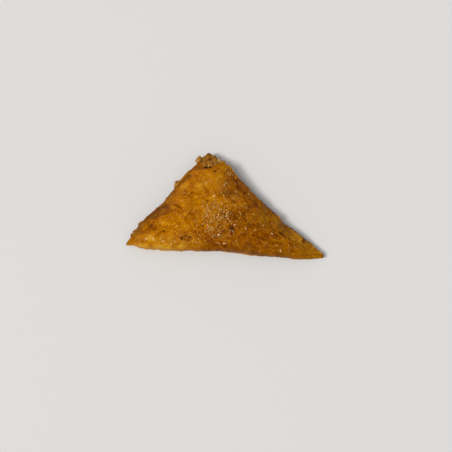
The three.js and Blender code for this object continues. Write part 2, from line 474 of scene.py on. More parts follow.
def makeBakeGroup():
    # how far baked, plus mottling, specks, pale flecks that are partly painted glints, and the darker
    # places, turned into a colour
    amounts = {"Toast": 0.4, "Olive": 0.0, "Soak": 0.0, "Film": 0.0, "Mottle": 0.16, "Specks": 0.5}
    sockets = [("Vector", "NodeSocketVector", None)]
    sockets += [(name, "NodeSocketFloat", value) for name, value in amounts.items()]
    tree, inside, outside = newGroup("bakedColour", sockets, [("Color", "NodeSocketColor")])
    vector, toast, olive, soak, film, mottle, specks = inside.outputs[:7]
    mottling = timesPlus(tree, noiseNode(tree, vector, 430, 4, 0.62, 0.6), 1.6, -0.8)
    finer = noiseNode(tree, vector, 950, 3, 0.6, 0.4)
    mottling = timesPlus(tree, finer, 1.8, maths(tree, "ADD", mottling, -0.9))
    finest = noiseNode(tree, vector, 1900, 2, 0.5)
    mottling = timesPlus(tree, finest, 0.8, maths(tree, "ADD", mottling, -0.4))
    # paler spots are crisper than dark ones
    mottling = maths(tree, "MINIMUM", mottling, maths(tree, "MULTIPLY", mottling, 0.6))
    level = timesPlus(tree, mottling, mottle, toast)
    rare = timesPlus(tree, noiseNode(tree, vector, 210, 2), 14.0, -8.0, clamp=True)
    dots = maths(tree, "MULTIPLY", dotted(tree, vector, 560.0, 2.7), rare)
    level = timesPlus(tree, maths(tree, "MULTIPLY", dots, specks), 0.5, level, clamp=True)
    # sparse pale flecks, partly painted glints
    few = timesPlus(tree, noiseNode(tree, vector, 260, 2, 0.5, 0.3), -14.0, 6.4, clamp=True)
    flecks = maths(tree, "MULTIPLY", dotted(tree, vector, 690.0, 2.6), few)
    places = {"pale": 0.0, "burnt": 1.0, "gold": 0.25, "amber": 0.5, "brown": 0.75}
    colour = ramp(tree, level, [(place, bakeColours[name]) for name, place in places.items()])
    tint = noiseNode(tree, vector, 560, 5, 0.65, 0.6)
    layers = [
        (timesPlus(tree, tint, 4.5, -2.2, clamp=True), "yellower", "MULTIPLY"),
        (timesPlus(tree, tint, -4.5, 2.2, clamp=True), "redder", "MULTIPLY"),
        (film, "film", "MIX"),
        (maths(tree, "MULTIPLY", flecks, specks), "fleck", "MIX"),
        (olive, "olive", "MIX"),
        (soak, "soaked", "MULTIPLY"),
    ]
    for amount, layer, how in layers:
        blend = addNode(tree, "ShaderNodeMix", {"data_type": "RGBA", "blend_type": how})
        feed(tree, blend, Factor=amount, A=colour, B=(*bakeColours[layer], 1))
        colour = blend.outputs["Result"]
    tree.links.new(colour, outside.inputs["Color"])
    return tree


def makeCrinkleGroup():
    # fine crinkles of a baked sheet, as a height
    sockets = [("Vector", "NodeSocketVector", None), ("Fine", "NodeSocketFloat", 1.0)]
    tree, inside, outside = newGroup("sheetCrinkle", sockets, [("Height", "NodeSocketFloat")])
    vector, fineness = inside.outputs[:2]
    crease = maths(tree, "SUBTRACT", noiseNode(tree, vector, 520, 5, 0.6, 1.2), 0.5)
    tight = maths(tree, "MULTIPLY", noiseNode(tree, vector, 1500, 4, 0.65, 0.4), fineness)
    values = {"Vector": vector, "Scale": 900.0, "Smoothness": 0.6}
    blister = addNode(tree, "ShaderNodeTexVoronoi", {"feature": "SMOOTH_F1"}, **values)
    height = timesPlus(tree, maths(tree, "ABSOLUTE", crease), -1.6, 0.5)
    height = timesPlus(tree, tight, 0.6, height)
    height = timesPlus(tree, blister.outputs["Distance"], 0.25, height)
    tree.links.new(height, outside.inputs["Height"])
    return tree


bakeGroup = makeBakeGroup()
crinkleGroup = makeCrinkleGroup()


def attribute(tree, name):
    node = tree.nodes.new("ShaderNodeAttribute")
    node.attribute_name = name
    return node.outputs["Fac"]


def sheetMaterial(name, look):
    material, tree, shader, vector = newMaterial(name)
    layers = {layer: attribute(tree, layer.lower()) for layer in ("Toast", "Olive", "Soak", "Film")}
    mottle = maths(tree, "MULTIPLY", attribute(tree, "mottled"), look["mottle"])
    bake = addNode(tree, "ShaderNodeGroup", {"node_tree": bakeGroup}, Vector=vector, **layers)
    feed(tree, bake, Mottle=mottle, Specks=look["specks"])
    crinkle = addNode(tree, "ShaderNodeGroup", {"node_tree": crinkleGroup})
    feed(tree, crinkle, Vector=vector, Fine=look["fine"])
    gloss = noiseNode(tree, vector, 260, 3, 0.6)
    pool = timesPlus(tree, noiseNode(tree, vector, 600, 2, 0.5), 9.0, -6.0, clamp=True)
    feed(
        tree,
        shader,
        Base_Color=bake.outputs["Color"],
        Normal=bumped(tree, crinkle.outputs["Height"], look["bump"], look["bumpHeight"]),
        Roughness=timesPlus(tree, gloss, look["roughSpread"], look["rough"], clamp=True),
        Coat_Weight=maths(tree, "MULTIPLY", pool, look["pools"], clamp=True),
        Coat_Roughness=look["coatRough"],
        Coat_IOR=look["coatIor"],
        Subsurface_Weight=look["glow"],
        Subsurface_Radius=look["glowReach"],
        Subsurface_Scale=mm,
        Specular_IOR_Level=look["specular"],
        Specular_Tint=(*look["glintTint"], 1),
    )
    return material


topLook = {
    "mottle": 0.37,
    "specks": 0.6,
    "fine": 1.0,  # the finest crinkles
    "bump": 0.8,
    "bumpHeight": 0.0004,
    "rough": 0.30,
    "roughSpread": 0.3,
    "pools": 0.4,  # of syrup
    "coatRough": 0.12,
    "coatIor": 1.45,
    "glow": 0.08,  # light that comes back from within
    "glowReach": (1.0, 0.42, 0.10),
    "specular": 0.13,
    "glintTint": (1.0, 0.50, 0.02),
}
edgeLook = dict(topLook, mottle=0.2, specks=0.2, bump=0.5, pools=0.2, rough=0.42, glow=0.12)
topMaterial = sheetMaterial("glazedTopSheet", topLook)
edgeMaterial = sheetMaterial("bakedEdges", edgeLook)
print("shared looks made")

# How far the pastry is baked, from pale gold to brown, with painted shade along the left edge, painted
# light along the left of the fold and patches that are partly painted light and shade, and where it is
# still greenish.

browning = {
    "base": 0.455,
    "cloudy": 0.09,  # how much the browning varies
    "mottled": 0.10,
    # a darker band along the left open edge: its browner rim and painted shade
    "leftEdge": 0.32,
    # paler along the fold's rim on the left: painted light
    "foldRim": -0.14,
    "patches": [  # x, y, half sizes, a turn where there is one, amount; browner and paler patches, partly painted light and shade
        (-27, 50, 9, 9, 45, 0.10),
        (-12, 49, 9, 9, -0.06),
        (-48, 4.5, 19, 4.5, -0.26),
        (-50, 10, 9, 4, -0.06),
        (-51, 17, 9, 3.2, 25, 0.12),
        (-41, 29.5, 5, 4, 40, 0.14),
        (-32.6, 31, 2.4, 1.8, 35, 0.15),
        (-8, 27, 9, 9, -0.05),
        (4.5, 41, 4.2, 3.2, -30, 0.15),
        (8, 50, 5, 9, 40, 0.14),
        (7.5, 26, 4.2, 5, -30, 0.14),
        (12, 9, 22, 8, -8, 0.16),
        (28, 1, 26, 5, -8, 0.12),
        (-4, 4, 16, 4, 0.12),
        (33, 10, 20, 6, -25, 0.10),
        (25, 33, 8, 4, -45, 0.12),
        (18.6, 24.5, 4.5, 4.5, -0.04),
        (45, 1, 12, 4, -15, -0.02),
        (60, 0, 9, 5, -30, 0.03),
        (50.4, 5.8, 2.2, 1.3, -30, 0.16),
        (57.2, 6.9, 1.3, 1.3, 0.28),
        (-6.5, 51.5, 5.5, 4.5, -0.10),
        (-24, 52, 5, 4, 40, -0.08),
        (2.5, 52, 4, 4, -0.05),
        (11, 34, 4, 4, -0.08),
        (-41.5, 0.5, 5, 3, -0.07),
        (-41.5, 16.5, 5, 4, -0.05),
        (-71.6, 5.2, 1.8, 1.6, 0.26),
        (-30, 47, 5.1, 2.3, 45, -0.35), (-19.5, 45, 2.9, 2.6, -0.18), (-10, 37, 1.8, 2.2, -0.33),
        (-38.5, 37.5, 4.4, 1.9, 25, -0.15), (-19.5, 30, 2.2, 1.5, -0.18), (-27.5, 26, 1.5, 1.9, -0.18),
        (-41, 19.5, 5.1, 1.8, -20, -0.31), (-31.5, 14, 3.6, 1.8, -0.13), (-54, 9.5, 1.9, 2.9, -0.26),
        (-59, 4, 4.4, 1.5, -15, -0.26), (-46.5, 2.5, 4.4, 1.5, -0.26), (-31.5, 3, 3.6, 2.2, -0.33),
        (2.5, 7, 2.2, 2.2, -0.33), (7, 4.5, 2.9, 1.8, -0.22), (26.5, 23.5, 1.3, 3.6, -0.29),
        (-3.5, 54, 1.8, 3.6, -25, -0.26), (6, 37.5, 2.2, 1.8, -0.22), (14.5, 33, 1.8, 2.0, -0.22),
        (39.5, 7, 2.2, 1.8, -0.15), (57, -3.5, 6.6, 1.9, 5, -0.08), (55, 9, 2.2, 1.5, -40, -0.18),
        (-23.5, 55.5, 2.2, 2.2, -0.15), (29, 0, 4.4, 1.9, -30, -0.13), (-50, 30.5, 5.1, 1.9, 45, 0.09),
        (-40.5, 27.5, 1.8, 2.6, 0.14), (-53.5, 17, 3.6, 1.9, 45, 0.06), (-63.5, 17, 2.5, 1.5, 50, 0.08),
        (-49, 14, 2.9, 1.8, 0.12), (-29, 39, 2.9, 2.2, 0.13), (-1, 41.5, 2.9, 2.9, 0.20),
        (9, 46.5, 2.0, 2.6, 0.22), (-8.5, 61, 2.2, 2.2, 0.18), (3.5, 27, 2.9, 2.2, 0.12),
        (14.5, 25, 2.2, 2.2, 0.15), (5.5, 15.5, 1.8, 4.8, 0.27), (-2, 11, 2.2, 1.8, 0.08),
        (-14, 20, 2.2, 1.8, 0.11), (-21, 13, 3.6, 2.2, 0.11), (23, 33, 4.0, 2.0, -40, 0.20),
        (35, 20.5, 5.8, 1.9, -60, 0.22), (47, 14, 3.3, 2.0, -60, 0.22), (43.5, 21, 2.9, 1.2, -35, 0.26),
        (26.5, 9.5, 5.1, 2.0, 0.12), (14.5, 13, 2.6, 4.4, 0.13), (16, -2, 6.6, 1.2, -3, 0.24),
        (42, -4, 4.4, 1.0, -3, 0.18), (65.5, 1, 2.3, 2.2, -40, 0.22), (-27.5, 10, 2.2, 2.9, 0.13),
        (-11, 7.5, 2.2, 1.6, 0.11), (23.5, 5.5, 2.2, 2.9, 0.11),
        (-30, 45, 3.4, 2.0, 45, -0.20), (-17.5, 46, 2.4, 2.2, -0.20), (-52, 8.5, 2.4, 2.6, -0.20),
        (-5.5, 51.5, 3.6, 2.4, -0.12), (-9, 38.5, 2.4, 2.4, -0.12), (4, 56, 2.2, 3.0, -30, -0.12),
        (6.5, 44.5, 1.8, 2.6, -0.15), (7, 38, 2.2, 2.2, -0.14), (-20.5, 30, 2.8, 1.8, -0.12),
        (-27.5, 26.5, 1.6, 1.8, -0.12), (-44.5, 19.5, 1.6, 2.4, 30, -0.16), (-38, 18.5, 1.8, 2.2, -0.14),
        (-8.5, 25, 2.6, 1.6, -0.10), (-4, 28, 1.8, 2.0, -0.12), (-65, 11, 3.0, 1.6, -40, -0.16),
        (-59, 3.8, 3.2, 1.4, -10, -0.18), (-16, 6.5, 2.6, 1.8, -0.12), (-0.5, 5.5, 1.6, 2.0, -0.10),
        (16.5, 24, 2.2, 1.8, -0.10), (26.5, 21, 1.6, 4.0, -0.14), (47, -2.5, 4.0, 1.4, -8, -0.10),
        (34, -2, 3.6, 1.4, -8, -0.10), (54, 8, 2.2, 1.2, -40, -0.12), (-35.5, 23, 3.0, 2.0, 0.12),
        (6, 27, 2.6, 2.0, 0.10), (2.5, 23.5, 3.0, 2.2, 0.10), (39.5, 12.7, 2.6, 1.6, -50, 0.20),
        (-53.5, 3.8, 2.0, 1.8, 0.22), (-14.5, 40, 2.0, 1.8, 0.12), (2.5, 46.5, 2.2, 2.0, 0.13),
        (11, 45, 1.6, 2.4, -30, 0.13), (1, 23.5, 2.2, 1.8, 0.13), (-2, 19, 2.6, 1.6, 0.16),
        (-12.5, 19.5, 2.4, 1.6, 0.14), (-0.5, 13, 2.0, 2.0, 0.07), (-15.5, 12.5, 3.0, 1.6, 0.12),
        (-10.5, 8.5, 2.0, 1.6, 0.12), (-44.5, 11, 2.4, 2.2, 0.14), (-42, 7.5, 2.4, 2.0, 0.16),
        (-51, 24.5, 3.6, 1.6, 45, 0.06), (-34.5, 9, 1.8, 1.6, 0.12), (-50.5, 17.5, 2.4, 1.8, 0.10),
        (21.5, 31.5, 3.4, 1.6, -30, 0.14), (34, 28, 2.8, 1.6, -40, 0.14), (32, 18.5, 1.6, 3.0, -30, 0.12),
        (41, 21, 3.0, 1.6, -40, 0.14), (47, 11.5, 2.2, 1.6, -50, 0.14), (60, 2.5, 2.2, 1.6, -45, 0.14),
        (66, -2.5, 1.8, 2.2, 0.12), (30.5, 11, 2.4, 1.8, 0.14), (1, 38, 2.2, 2.6, 0.12),
        (-12, 33, 2.6, 2.2, 0.10), (-24.5, 23.5, 2.8, 1.8, 0.10), (-41.5, 33, 2.4, 1.8, 45, 0.12),
        (-33, 33, 2.0, 2.0, 0.12), (-42, 2, 6.0, 1.1, -0.16), (-30, 4.3, 2.2, 2.4, -0.06),
        (-14, 43.5, 2.2, 1.8, 0.08), (1, 46, 1.8, 2.4, 0.08), (-7, 57.5, 2.2, 3.0, 0.12),
        (-18, 58, 2.4, 2.0, 0.12), (-28, 21.5, 2.0, 2.4, 0.10), (-25, 8, 1.8, 2.4, 0.10),
        (-57.5, 6.5, 2.4, 1.8, 0.16), (-53.5, 3, 2.4, 1.4, 0.12), (-43, 9.5, 2.6, 1.8, 0.08),
        (-38, 4.5, 2.6, 2.0, 0.12), (18, 28, 5.0, 1.8, 0.14), (24, 34, 3.0, 1.6, -30, 0.12),
        (32.5, 28, 2.4, 2.0, -40, 0.12), (34, 18.5, 2.0, 2.8, 0.10), (41.5, 18, 2.6, 2.0, -40, 0.20),
        (47, 13, 2.6, 2.0, -50, 0.15), (47.5, 4, 1.6, 2.6, 0.10), (36.5, 5, 2.2, 2.0, 0.12),
        (61.5, 2.5, 2.4, 2.0, -45, 0.12), (66, -2, 2.0, 2.4, 0.12), (-28.5, 48, 2.4, 3.6, -40, -0.14),
        (-35, 45, 2.0, 2.0, -0.14), (-42, 34.5, 2.0, 2.6, -40, -0.12), (-44.5, 28, 2.6, 1.6, 30, -0.14),
        (5.3, 45.5, 2.0, 1.8, -0.12), (14.5, 43, 1.8, 1.8, -0.12), (5.5, 55, 1.8, 2.4, -0.12),
        (55.5, 8, 1.8, 1.4, -40, -0.12), (-57, 20, 4.0, 2.4, 48, -0.10), (-17, 47, 3.0, 2.0, -0.08),
        (4, 17, 5.5, 8, 0.05), (40, 10.5, 9, 3.5, -20, 0.06), (-48.5, 9, 6, 3.5, 0.05),
        (-57.5, 4, 5, 3, 0.05),
        (27, 33, 3, 2.5, 0.10), (40, 17, 3, 2.2, 0.08), (70, -2.5, 2.4, 2.4, 0.14),
    ],
}

evenPlaces = [  # x, y, half sizes, a turn where there is one, how much of the mottling is missing
    (20, 6, 24, 8, -10, 0.45),
    (46, 2, 16, 7, -20, 0.45),
    (24, 20, 8, 10, 0.3),
    (-14, 48, 11, 9, -0.22),
    (-52, 24, 16, 6, 42, 0.55),
    (-37, 40, 10, 5, 48, 0.45),
    (30, 26, 9, 5, -45, 0.5),
    (48, 14, 12, 4, -38, 0.5),
    (-31, 21, 12, 9, -0.25),
    (-13, 24, 6, 10, -0.2),
]


def bakeZones(x, y):
    b = browning
    toast = b["base"] + b["cloudy"] * sampled(x, y, 0, 15, 31, how=fractal(3))
    toast += b["mottled"] * lessened(evenPlaces, x, y) * sampled(x, y, 0, 4.5, 32, how=fractal(4))
    toast += patched(b["patches"], x, y)
    # painted shade with the browner rim along the left open edge
    toast += b["leftEdge"] * bell(fromEdgeAt(x, y), 1.5, 4.4) * eased(-x, 14, 12) * eased(x, -72, 10)
    # painted light along the fold's rim on the left
    return toast + b["foldRim"] * bell(y - foldAt(x), 0, 1.6) * eased(-x, 34, 8) * eased(x, -66, 6)


soakedPlaces = [  # x, y, half sizes, a turn where there is one, how much darker: painted shade along the fold's face and the right side, with the pastry's own darker tone
    (22, 17, 26, 11, -25, 0.34),
    (13, 0.5, 36, 4.5, -6, 0.55),
    (8, -3, 30, 3, -6, 0.30),
    (-50, 26, 9, 3.5, 40, 0.22),
    (-66, 10, 5, 4, 40, 0.15),
    (44, 10, 10, 7, -35, 0.12),
]


# darker along the fold's face and on the right: partly painted shade, partly the pastry's own tone
def soakZones(x, y):
    soak = patched(soakedPlaces, x, y)
    return np.clip(soak * (1 + 0.3 * sampled(x, y, 0, 5, 35, how=fractal(3))), 0, 1)


greenish = {"left": 0.55, "right": 0.5, "fold": 0.55, "blister": 0.2}
greenishTips = [(-66, 8, 9, 6, 0.32), (61, 2, 13, 7, 0.22)]  # x, y, half sizes, amount


def oliveZones(x, y):
    g = greenish
    fromEdge = fromEdgeAt(x, y)
    left = bell(fromEdge, 1, 4) * eased(-x, 14, 14)
    right = bell(fromEdge, 2, 4.5) * eased(x, 22, 8)
    fold = bell(y - foldAt(x), 0, 3.5) * (mix(0.5, 0.1, eased(x, -40, 16)) + 0.7 * eased(x, 36, 12))
    veil = 0.6 + 0.5 * sampled(x, y, 0, 7, 41, how=fractal(3))
    sides = g["left"] * left + g["right"] * right + g["fold"] * fold + patched(greenishTips, x, y)
    return np.clip(sides * veil + g["blister"] * bellAt(x, y, -27.3, 8.6, 3.2, 1.2), 0, 1)


def glazed(piece, x, y, toast, film):
    # painted by place, with more or less toast and film where it is given
    paint(piece, toast=bakeZones(x, y) + toast, olive=oliveZones(x, y), soak=soakZones(x, y))
    paint(piece, mottled=lessened(evenPlaces, x, y), film=film)
    faceUp(piece)
    return finished(piece, topMaterial)


# The top sheet, over the top, round the fold and under.

topSheet = {
    "columns": 410,
    "topRows": 172,
    "foldRows": 24,
    "underRows": 12,
    "underReach": 7.0,
    "thickness": 0.22,  # shown at the open edge
    "proud": -0.06,  # above the solid's own top
    "curl": 0.35,
    "height": {  # of each kind of relief
        "broad": 0.26,
        "fine": 0.17,
        "grain": 0.05,
        "streaks": 0.24,
        "film": 0.10,
        "crumbs": 0.55,
        "trough": -0.2,
        "rim": 0.5,  # the blister's rim and middle
        "middle": -0.4,
    },
    "darkening": {  # where it is high: painted shade in the hollows and painted light on the heights of the wrinkles, streaks and trough, paler crumb tops with painted shade between them, and the film's own tone
        "broad": -0.07,
        "fine": -0.10,
        "grain": -0.07,
        "streaks": -0.13,
        "film": 0.07,
        "filmEdge": 0.04,
        "crumbs": -0.60,
        "trough": 0.05,
    },
    "cracks": [  # points, width, depth, darkening: painted shade in a crack and painted light on a ridge; a ridge has a depth below 0
        ([(16.6, 45.0), (15.9, 43.0), (13.9, 41.6), (13.4, 38.2)], 0.40, 0.5, 0.42),
        ([(13.4, 38.2), (15.6, 36.0), (17.4, 32.0), (17.4, 28.8)], 0.4, 0.25, 0.22),
        ([(16.5, 29.2), (22.3, 30.2), (28.2, 29.9)], 0.4, -0.2, -0.14),
        ([(22.3, 31.0), (26.7, 28.6), (29.5, 25.0)], 0.4, -0.2, -0.12),
        ([(20.5, 27.5), (25.0, 30.0), (28.5, 33.0)], 0.4, 0.2, 0.10),
        ([(13.6, 27.5), (14.6, 22.0), (18.0, 18.5), (23.5, 17.5)], 0.5, 0.2, 0.14),
        ([(-7.3, 51.6), (-7.4, 47.9), (-7.2, 44.6)], 0.3, 0.2, 0.14),
        ([(-48.2, 30.8), (-46.1, 32.6), (-43.1, 34.6)], 0.6, 0.5, 0.3),
        ([(-36.0, 33.4), (-33.9, 32.4), (-31.0, 30.5)], 0.6, 0.55, 0.26),
        ([(-36.5, 28.9), (-34.6, 29.0), (-31.7, 27.4)], 0.5, 0.4, 0.2),
        ([(-38.5, 31.4), (-36.6, 31.2), (-33.9, 30.2), (-31.9, 29.0)], 0.4, -0.45, -0.18),
        ([(-38.5, 34.0), (-37.4, 32.4), (-37.6, 30.0)], 0.5, -0.4, -0.14),
        ([(-44.7, 24.1), (-40.3, 25.8), (-35.3, 27.8)], 0.4, -0.3, -0.18),
        ([(-43.4, 22.2), (-38.3, 23.6), (-33.6, 25.4)], 0.35, -0.25, -0.14),
        ([(-50.8, 17.8), (-50.1, 19.6), (-48.3, 19.8), (-46.4, 18.7)], 0.45, -0.35, -0.18),
        ([(-49.0, 11.1), (-46.0, 12.9), (-42.4, 14.4)], 0.5, 0.3, 0.18),
        ([(-47.9, 10.2), (-46.0, 11.8), (-43.5, 13.1)], 0.35, -0.25, -0.18),
        ([(-35.2, 14.6), (-33.8, 12.9), (-32.4, 11.2)], 0.35, -0.2, -0.16),
        ([(-14.7, 8.7), (-13.3, 7.0)], 0.3, -0.2, -0.2),
        ([(-16.5, 10.0), (-12.6, 7.7), (-7.7, 5.7), (-3.4, 3.6)], 0.7, 0.3, 0.16),
        ([(-46.0, 21.0), (-38.0, 21.4), (-29.0, 19.6)], 0.5, 0.25, 0.10),
        ([(-26.0, 39.0), (-20.5, 43.5), (-17.5, 49.0)], 0.45, 0.22, 0.08),
        ([(20.0, 11.0), (30.0, 7.5), (41.0, 5.5)], 0.5, 0.25, 0.12),
        ([(24.0, 8.6), (31.0, 4.0), (38.0, 3.4)], 0.35, -0.2, -0.10),
        ([(-28.0, 45.0), (-21.0, 42.5), (-15.0, 44.5)], 0.5, -0.2, -0.12),
        ([(-24.0, 35.0), (-16.0, 37.5), (-10.0, 35.0)], 0.5, 0.2, 0.10),
        ([(30.0, 11.0), (36.0, 8.0), (44.0, 6.5)], 0.4, -0.2, -0.10),
        ([(46.0, 6.4), (51.0, 4.4), (55.6, 0.9), (60.1, -0.8), (63.2, -3.3)], 0.4, 0.3, 0.16),
        ([(62.5, -3.3), (66.1, -2.9), (69.1, -3.7)], 0.4, 0.3, 0.14),
    ],
    "burns": [  # x, y, size, darkening
        (-16.0, 17.6, 0.6, 0.4), (2.5, 50.0, 0.8, 0.17), (-6.6, 56.6, 0.8, 0.4), (-4.5, 54.4, 0.45, 0.4),
        (-1.2, 14.5, 0.8, 0.14), (-6.9, 32.1, 0.5, 0.21), (20.4, 18.0, 0.5, 0.17), (-52.8, 3.6, 0.6, 0.21),
        (-53.0, 5.2, 0.45, 0.21), (-38.0, 3.8, 0.55, 0.35), (-43.0, 0.3, 0.5, 0.21), (0.9, 16.9, 0.4, 0.21),
        (10.8, 13.1, 0.5, 0.17), (9.8, 32.4, 0.6, 0.21), (-12.1, 26.2, 0.45, 0.21), (17.7, 7.3, 0.5, 0.17),
        (-31.3, 30.5, 0.6, 0.21), (34.1, 5.1, 0.5, 0.21), (48.2, -0.2, 0.5, 0.21), (-24.3, 22.9, 0.5, 0.17),
        (27.5, 6.0, 0.5, 0.17), (-30.5, 38.5, 0.5, 0.17), (-14.5, 31.5, 0.5, 0.21), (5.6, 27.2, 0.6, 0.21),
        (14.2, 20.6, 0.5, 0.21), (-28.7, 8.8, 1.3, -0.2), (-28.7, 8.8, 0.7, 0.9), (-30.9, 8.9, 0.7, 0.5),
        (5.2, 4.0, 0.6, 0.21), (-26.2, 7.1, 0.7, 0.21), (-25.0, 7.3, 0.6, 0.4), (-25.2, 9.4, 0.6, 0.21),
        (-19.6, 5.9, 0.4, 0.35),
    ],
    "crumbPlaces": [  # x, y, half sizes, a turn where there is one, amount
        (-4, 27, 12, 10, 1),
        (4, 57, 4, 7, 45, 0.8),
        (-8, 12, 10, 6, 0.4),
    ],
    "calmPlaces": [  # x, y, half sizes, a turn where there is one, how much smoother
        (19, 25, 6, 6, 0.8),
        (-18, 51, 12, 7, 0.55),
        (24, 34, 7, 4, -45, 0.6),
        (-47, 8, 14, 4, 0.4),
        (40, 2, 18, 5, -15, 0.5),
        (-54, 22, 13, 4.2, 42, 0.75),
        (-37, 40, 9, 3.2, 48, 0.6),
    ],
    "strokes": {  # short lifted flakes of film
        "count": 240,
        "seed": 17,
        "halfLength": (0.5, 2.2),
        "halfWidth": (0.20, 0.42),
        "tone": (0.08, 0.24),
        "height": -1.2,  # for each tone
        "dry": 0.9,
    },
    "blister": {"x": -27.6, "y": 8.7, "long": 3.6, "wide": 1.5, "turn": -3},
}


def makeStrokes(s):
    # x, y, half length, half width, turn and tone of each stroke; the turn follows the sheet's lie
    draw = random.Random(s["seed"])
    out = []
    while len(out) < s["count"]:
        x, y = draw.uniform(-64, 62), draw.uniform(-3, 60)
        fromFold = y - foldAt(x)
        if fromFold < 1 or y > topEdgeAt(x) - 1:
            continue
        lie = 32 if x < -20 else (-24 if x > 12 else draw.uniform(-80, 80))
        if fromFold < 8:
            lie *= 0.3
        turn = lie + draw.gauss(0, 20)
        tone = draw.choice([-1, -1, 1]) * draw.uniform(*s["tone"])
        out.append((x, y, draw.uniform(*s["halfLength"]), draw.uniform(*s["halfWidth"]), turn, tone))
    return out


topStrokes = makeStrokes(topSheet["strokes"])


def topRelief(x, y):
    # wrinkles, blisters and felt nuts: height in millimetres, how much darker each place is with painted
    # shade in the hollows and painted light on the heights, and dry film
    h, d = topSheet["height"], topSheet["darkening"]
    fromEdge = fromEdgeAt(x, y)
    warpX, warpY = warped(x, y, 2.4, 9, 1)
    broad = sampled(warpX, warpY, 0, 10, 3, how=ridged(4))
    fine = sampled(warpX, warpY, 0, 3.2, 4, how=ridged(3))
    grain = sampled(x, y, 0, 1.2, 5, how=fractal(3))
    # the streaks run along the fold and along both open sides
    leftSide = bell(fromEdge, 8, 8) * eased(-x, 14, 16) * (1 - 0.6 * eased(-x, 40, 8))
    rightSide = bell(fromEdge, 8, 11) * eased(x, 4, 16)
    streaks = bell(y - foldAt(x), 0, 8) * streaked(warpX, warpY, 0, 1.5, 6, 8)
    streaks += leftSide * streaked(warpX, warpY, 30, 1.5, 7)
    streaks += rightSide * streaked(warpX, warpY, -30, 1.5, 8)
    calm = lessened(topSheet["calmPlaces"], x, y)
    crumbs = patched(topSheet["crumbPlaces"], x, y)
    pebbles = sampled(x, y, 0, 1.7, 9, how=lambda p: 0.6 - noise.voronoi(p)[0][0])
    film, filmEdge = cells(*warped(x, y, 2.2, 4, 13), 8.5, 3)
    trough = bell(fromEdge, 6.2, 1.7) * eased(-x, 22, 10) * eased(x, -66, 10)
    height = calm * (h["broad"] * broad + h["fine"] * fine + h["grain"] * grain + h["streaks"] * streaks)
    height += h["film"] * film + h["crumbs"] * crumbs * np.clip(pebbles, -0.3, 1) + h["trough"] * trough
    # painted shade in the hollows and painted light on the heights
    dark = d["broad"] * broad + d["fine"] * fine + d["grain"] * grain + d["streaks"] * streaks
    dark = calm * (dark + d["filmEdge"] * filmEdge) + d["film"] * film + d["trough"] * trough
    dark += d["crumbs"] * crumbs * np.clip(pebbles - 0.2, -0.3, 1)
    dry = 0.25 * np.clip(film - 0.6, 0, 1)
    strokes = topSheet["strokes"]
    for cx, cy, halfLong, halfWide, turn, tone in topStrokes:
        tx, ty = turned(x - cx, y - cy, turn)
        mark = np.exp(-((tx / halfLong) ** 4) - (ty / halfWide) ** 2)
        height += strokes["height"] * tone * mark
        dark += tone * mark
        dry += strokes["dry"] * max(-tone, 0) * mark
    wobbleX, wobbleY = warped(x, y, 0.4, 2.4, 11)
    for points, width, depth, tone in topSheet["cracks"]:
        away, side = besideLine(wobbleX, wobbleY, points)
        height += depth * (0.6 * bell(away, 1.8 * width, width) * (side > 0) - bell(away, 0, width))
        # painted shade in the crack and a painted highlight on its raised side
        dark += tone * (bell(away, 0, 1.3 * width) - 0.35 * bell(away, 2 * width, width) * (side > 0))
    for bx, by, size, tone in topSheet["burns"]:
        dark += tone * bell(np.hypot(wobbleX - bx, wobbleY - by), 0, size)
    b = topSheet["blister"]
    tx, ty = turned(x - b["x"], y - b["y"], b["turn"])
    ring = np.hypot(tx / b["long"], (ty - 0.35 * bell(tx / 2)) / b["wide"])
    height += h["rim"] * bell(ring, 1.1, 0.3) + h["middle"] * bell(ring, 0, 0.6)
    dark += bell(ring, 0.95, 0.22) * (0.26 + 0.24 * eased(ty / 0.6 + 0.3) + 0.4 * bell(tx, -3.2, 1.0))
    dark += 0.02 * bell(ring, 0, 0.8) - 0.14 * bell(ring, 1.6, 0.3) * (ty < 0)
    return height, dark, np.clip(dry * (1 - 0.7 * crumbs), 0, 0.85)


